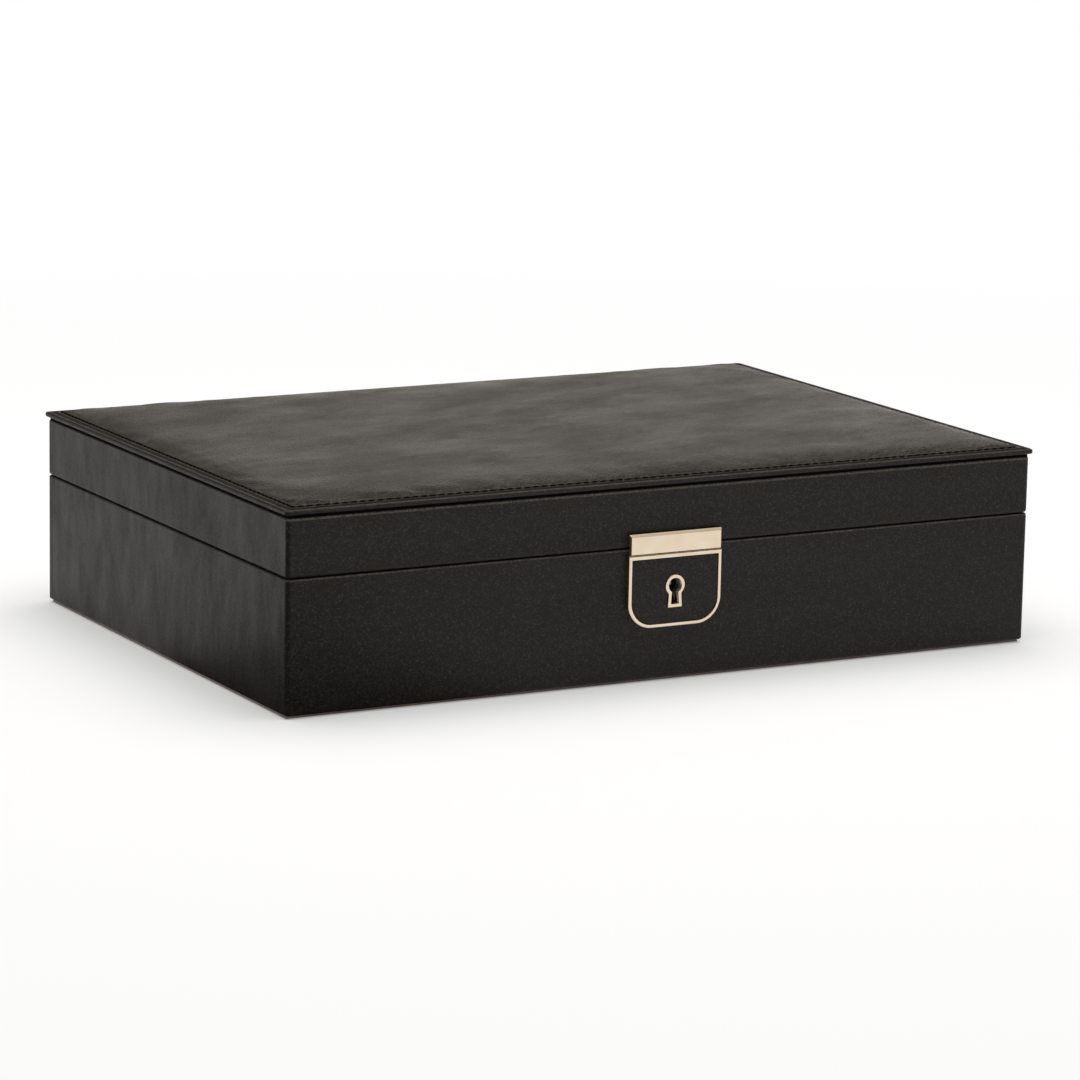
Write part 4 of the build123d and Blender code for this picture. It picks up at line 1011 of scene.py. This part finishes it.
def makeFloor():
    half = studioSettings["floorHalf"]
    corners = [(-half, -half, 0), (half, -half, 0), (half, half, 0), (-half, half, 0)]
    mesh = meshFrom("floor", corners, [(0, 1, 2, 3)])
    material = bpy.data.materials.new("paperFloor")
    material.use_nodes = True
    tree = material.node_tree
    tree.nodes.clear()
    path = addNode(tree, "ShaderNodeLightPath")
    where = addNode(tree, "ShaderNodeTexCoord").outputs["Object"]
    distance = addNode(tree, "ShaderNodeVectorMath", links={0: where}, operation="LENGTH")
    (near, far), (start, end) = studioSettings["glow"], studioSettings["glowRange"]
    glow = addNode(tree, "ShaderNodeMapRange", {
        "From Min": start, "From Max": end, "To Min": near, "To Max": far},
        {"Value": distance.outputs["Value"]})
    mirror = mirroredRays(tree, path)
    seen = addNode(tree, "ShaderNodeMath", links={0: path.outputs["Is Camera Ray"], 1: mirror},
                   operation="MAXIMUM")
    share = addNode(tree, "ShaderNodeMath", links={0: glow, 1: seen}, operation="MULTIPLY")
    # Painted reflection: in mirrored rays only, the floor off to one side takes the room's dark colour
    direction = addNode(tree, "ShaderNodeVectorMath", links={0: where}, operation="NORMALIZE")
    towards = addNode(tree, "ShaderNodeVectorMath", {1: studioSettings["darkReflection"] + (0.0,)}, {0: direction},
                      operation="DOT_PRODUCT")
    start, end = studioSettings["darkReflectionEdge"]
    darkReflection = addNode(tree, "ShaderNodeMapRange", {"From Min": start, "From Max": end},
                   {"Value": towards.outputs["Value"]}, interpolation_type="SMOOTHSTEP")
    darkReflectionMirrored = addNode(tree, "ShaderNodeMath", links={0: darkReflection, 1: mirror}, operation="MULTIPLY")
    paperColour, glowColour = [
        addNode(tree, "ShaderNodeMix", {6: colour, 7: linear(studioSettings["room"])}, {0: darkReflectionMirrored},
                data_type="RGBA") for colour in (linear(studioSettings["floor"]), white)]
    paper = addNode(tree, "ShaderNodeBsdfDiffuse", links={"Color": paperColour.outputs[2]})
    shine = addNode(tree, "ShaderNodeEmission", {"Strength": 1.0}, {"Color": glowColour.outputs[2]})
    both = addNode(tree, "ShaderNodeMixShader", links={0: share, 1: paper, 2: shine})
    addNode(tree, "ShaderNodeOutputMaterial", links={"Surface": both})
    newPiece("floor", mesh, material)


makeWorld()
makeFloor()
makeLight(studioSettings["light"])
print("studio lit")

# Camera, fitted to the corners of the box in the photograph
cameraSettings = {"at": (-0.8233, -1.51894, 0.38058), "around": -28.565, "down": 11.424, "roll": 1.068,
                  "lens": 155.6}
cameraData = bpy.data.cameras.new("photoCamera")
cameraData.lens = cameraSettings["lens"]
cameraData.sensor_width = 36.0
cameraData.clip_start = 0.05
cameraData.clip_end = 40.0
camera = bpy.data.objects.new("photoCamera", cameraData)
scene.collection.objects.link(camera)
camera.matrix_world = (
    Matrix.Translation(cameraSettings["at"])
    @ Matrix.Rotation(math.radians(cameraSettings["around"]), 4, "Z")
    @ Matrix.Rotation(math.radians(90 - cameraSettings["down"]), 4, "X")
    @ Matrix.Rotation(math.radians(cameraSettings["roll"]), 4, "Z"))
scene.camera = camera
scene.view_settings.view_transform = "Standard"

print("scene ready")
